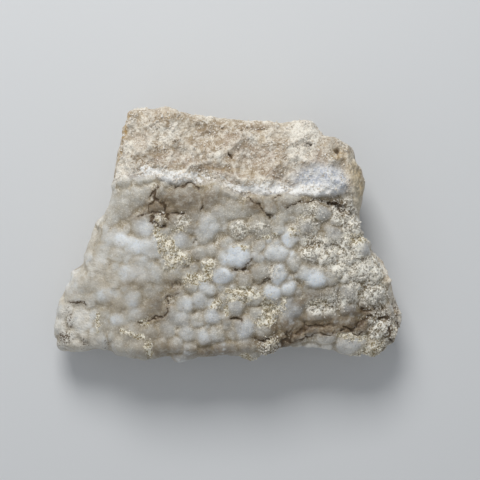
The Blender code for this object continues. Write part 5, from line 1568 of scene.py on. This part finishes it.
    def material(self, groups: Groups) -> bpy.types.Material:
        """The whole finish: crust and matrix by their shares, dark cracks, stains, painted shadow by the front edge and
        specks over both.
        """
        material, tree, shader = new_material("stone")
        place = tree.place()
        matrix = tree.stored("matrix")
        colour = tree.mix(matrix, self.crust(tree, place, groups), self.matrix(tree, place, groups))
        grain = use_group(tree, groups.grain, Place=place, Scale=1700.0)
        ragged = tree.calc("SUBTRACT", tree.noise(place, 0.5, 3.0, 0.6), 0.5)
        near = tree.calc("SUBTRACT", tree.stored("crack"), tree.calc("MULTIPLY", ragged, -2.4))
        crack = tree.calc("SUBTRACT", 1.0, tree.ramp(near, 0.7, 1.4))
        pit = tree.ramp(tree.stored("pit"), 0.3, 1.0)
        # Brown stains, and painted shadow under the overhang by the front edge
        stain_and_shade = tree.calc("MULTIPLY", tree.stored("stain_and_shade"), tree.ramp(tree.noise(place, 0.9, 4.0, 0.7), 0.46, 0.62))
        specks = use_group(tree, groups.specks, Place=place, Scale=2300.0, Share=tree.stored("specks"))
        dark = tree.calc("MAXIMUM", crack, tree.calc("MAXIMUM", pit, stain_and_shade))
        dark = tree.calc("MAXIMUM", dark, specks.outputs["Mask"])
        colour = tree.mix(tree.calc("MULTIPLY", dark, 0.9), colour, self.brown)
        tree.put(shader.inputs["Base Color"], colour)
        dull = tree.calc("MAXIMUM", matrix, tree.calc("MAXIMUM", tree.stored("cream"), tree.stored("grit")))
        dull = tree.calc("MAXIMUM", dull, tree.calc("MULTIPLY", tree.stored("frost"), 0.6))
        tree.put(shader.inputs["Roughness"], tree.calc("MULTIPLY_ADD", dull, 0.35, 0.42))
        fine = tree.calc("MULTIPLY", grain.outputs["Height"], tree.calc("MULTIPLY_ADD", dull, 0.5, 0.5))
        bump = tree.add("ShaderNodeBump", Strength=0.8, Distance=0.0003, Height=fine)
        tree.put(shader.inputs["Normal"], bump.outputs["Normal"])
        clear = tree.calc("SUBTRACT", 1.0, dull)
        tree.put(shader.inputs["Subsurface Weight"], tree.calc("MULTIPLY_ADD", clear, self.clearness, 0.08))
        shader.inputs["Subsurface Radius"].default_value = (1.0, 0.97, 0.9)
        shader.inputs["Subsurface Scale"].default_value = self.depth
        shader.inputs["Specular IOR Level"].default_value = 0.4
        return material


@dataclass(frozen=True)
class GrainFinish:
    """Finish of loose grains: two colours in blotches, so that neighbouring grains differ, and a little gloss."""

    name: str
    one: Colour
    two: Colour
    rough: float

    def material(self, groups: Groups) -> bpy.types.Material:
        """The grains' material."""
        material, tree, shader = new_material(self.name)
        place = tree.place()
        mottled = use_group(
            tree, groups.mottle, Place=place, Scale=2600.0, Low=0.35, High=0.65, One=self.one, Two=self.two
        )
        tree.put(shader.inputs["Base Color"], mottled.outputs["Color"])
        shader.inputs["Roughness"].default_value = self.rough
        return material


# Grains


@dataclass
class Grains:
    """Small crystals that sit on the stone where a mask says, all in one mesh of eight-faced grains."""

    name: str
    finish: GrainFinish
    masks: dict[str, float]
    count: int
    smallest: float
    largest: float
    seed: int
    matrix: bool

    def places(self, grown: dict[str, Points]) -> Points:
        """Numbers of the skin's vertices that carry a grain, picked by the masks' weights.

        Args:
            grown: the skin's points, normals and shares.

        Returns:
            Vertex numbers, some more than once.
        """
        rng = np.random.default_rng(self.seed)
        weight = sum(strength * grown[mask] for mask, strength in self.masks.items())
        side = grown["matrix"] if self.matrix else 1 - grown["matrix"]
        weight = np.clip(weight, 0, None) * side * grown["top"]
        clumps = soft_noise(grown["points"], 1.6, 500 + self.seed)
        weight = weight * np.clip(0.35 + clumps, 0, None) * np.clip(grown["normals"][:, 2], 0, None)
        return rng.choice(len(weight), size=self.count, p=weight / weight.sum())

    def build(self, grown: dict[str, Points]) -> bpy.types.Object:
        """Builds the grains: a stretched octahedron for each, turned at random and sunk a third into the stone.

        Args:
            grown: the skin's points, normals and shares.

        Returns:
            The piece.
        """
        rng = np.random.default_rng(self.seed + 1)
        at = self.places(grown)
        size = self.smallest + (self.largest - self.smallest) * rng.random(self.count) ** 2
        middle = grown["points"][at] + rng.normal(0, 0.12, (self.count, 3))
        middle += grown["normals"][at] * (0.12 * size)[:, None]
        turns = np.linalg.qr(rng.normal(size=(self.count, 3, 3)))[0]
        corners = np.array([(1, 0, 0), (-1, 0, 0), (0, 1, 0), (0, -1, 0), (0, 0, 1), (0, 0, -1)], float)
        stretched = corners[None] * (0.5 * size[:, None, None]) * (0.35 + 1.0 * rng.random((self.count, 1, 3)))
        points = middle[:, None] + np.einsum("nij,nkj->nki", turns, stretched)
        faces = np.array([
            (0, 2, 4), (2, 1, 4), (1, 3, 4), (3, 0, 4), (2, 0, 5), (1, 2, 5), (3, 1, 5), (0, 3, 5),
        ])
        flipped = np.linalg.det(turns) < 0
        all_faces = faces[None] + 6 * np.arange(self.count)[:, None, None]
        all_faces[flipped] = all_faces[flipped][:, :, ::-1]
        inside = points.reshape(-1, 3)
        low, high = (np.array(corner) / MM for corner in CAD_BOX)
        inside = np.clip(inside, low + 0.01, high - 0.01)
        piece = new_mesh(self.name, inside, [all_faces.reshape(-1, 3)])
        piece.data.shade_flat()
        return piece


# Studio


@dataclass
class Studio:
    """Pale floor, soft light from behind the stone, and the camera above it."""

    floor_half: float = 600.0
    floor_colour: Colour = (0.70, 0.72, 0.74)
    camera_height: float = 418.0
    camera_at: tuple[float, float] = (3.66, -1.46)
    lens: float = 105.0
    lean: float = 0.0  # degrees that the camera looks away from straight down
    key_power: float = 2.5
    key_colour: Colour = (1.0, 0.985, 0.96)
    key_at: tuple[float, float, float] = (-90.0, 420.0, 430.0)
    key_size: float = 260.0
    fill_power: float = 0.35
    sky: float = 0.32

    def floor(self) -> None:
        """A plain level square under the stone."""
        half = self.floor_half
        corners = np.array([(-half, -half, 0), (half, -half, 0), (half, half, 0), (-half, half, 0)], float)
        piece = new_mesh("floor", corners, [np.array([[0, 1, 2, 3]])])
        material, _, shader = new_material("floor_paper")
        shader.inputs["Base Color"].default_value = (*self.floor_colour, 1)
        shader.inputs["Roughness"].default_value = 0.9
        piece.data.materials.append(material)

    def light(self, name: str, at: tuple[float, float, float], size: float, power: float) -> None:
        """A square area light that faces the stone.

        Args:
            name: the light's name.
            at: its place in millimetres.
            size: its side in millimetres.
            power: its power in watts.
        """
        data = bpy.data.lights.new(name, "AREA")
        data.shape = "SQUARE"
        data.size = size * MM
        data.energy = power
        data.color = self.key_colour
        lamp = bpy.data.objects.new(name, data)
        place = mathutils.Vector(at) * MM
        lamp.location = place
        lamp.rotation_euler = (-place).to_track_quat("-Z", "Y").to_euler()
        bpy.context.scene.collection.objects.link(lamp)

    def camera(self) -> None:
        """The camera, straight above the stone or leaning a little, with +Y up in the frame."""
        data = bpy.data.cameras.new("camera")
        data.lens = self.lens
        data.clip_start = 0.01
        data.clip_end = 10.0
        eye = bpy.data.objects.new("camera", data)
        x, y = self.camera_at
        lean = math.radians(self.lean)
        drop = self.camera_height * math.tan(lean)
        eye.location = (x * MM, (y - drop) * MM, self.camera_height * MM)
        eye.rotation_euler = (lean, 0, 0)
        bpy.context.scene.collection.objects.link(eye)
        bpy.context.scene.camera = eye

    def build(self) -> None:
        """Sets up floor, lights, world and camera."""
        self.floor()
        self.light("key", self.key_at, self.key_size, self.key_power)
        self.light("fill", (-260.0, -220.0, 520.0), 600.0, self.fill_power)
        world = bpy.data.worlds.new("studio")
        world.use_nodes = True
        world.node_tree.nodes["Background"].inputs["Color"].default_value = (0.93, 0.96, 1.0, 1)
        world.node_tree.nodes["Background"].inputs["Strength"].default_value = self.sky
        bpy.context.scene.world = world
        bpy.context.scene.view_settings.view_transform = "Standard"
        self.camera()


# Assembly


@dataclass
class Chalcedony:
    """The stone with its skin and its grains."""

    skin: StoneSkin = field(default_factory=StoneSkin)
    finish: StoneFinish = field(default_factory=StoneFinish)
    grains: tuple[Grains, ...] = (
        Grains(
            "cream_grit", GrainFinish("cream_grains", (0.95, 0.92, 0.82), (0.68, 0.60, 0.45), 0.75),
            {"cream": 1.0}, 2000, 0.18, 0.6, 11, False,
        ),
        Grains(
            "druse_grit", GrainFinish("druse_grains", (0.96, 0.94, 0.88), (0.66, 0.62, 0.54), 0.5),
            {"grit": 1.0, "cream": 0.2}, 3400, 0.2, 0.7, 21, False,
        ),
        Grains(
            "quartz_grains", GrainFinish("quartz_sugar", (0.94, 0.92, 0.87), (0.62, 0.55, 0.46), 0.4),
            {"matrix": 0.5, "pale": 1.0, "fringe": 2.0, "quartz": 0.3, "bare": -3.0}, 3600, 0.2, 0.75, 31, True,
        ),
    )

    def dress(self, piece: bpy.types.Object, material: bpy.types.Material) -> None:
        """Gives a piece its material, hangs it from the stone's body and hides the stone's part from model.glb."""
        piece.data.materials.append(material)
        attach(piece, BODY)
        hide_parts(NODE)
        LOG.info("%s: %d faces", piece.name, len(piece.data.polygons))

    def build(self, groups: Groups) -> None:
        """Builds and dresses the skin and each kind of grain."""
        skin, grown = self.skin.build()
        self.dress(skin, self.finish.material(groups))
        for kind in self.grains:
            self.dress(kind.build(grown), kind.finish.material(groups))


def main() -> None:
    """Builds the stone and its studio."""
    logging.basicConfig(level=logging.INFO, format="%(name)s: %(message)s")
    Chalcedony().build(Groups())
    Studio().build()
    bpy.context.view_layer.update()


if __name__ == "__main__":
    main()
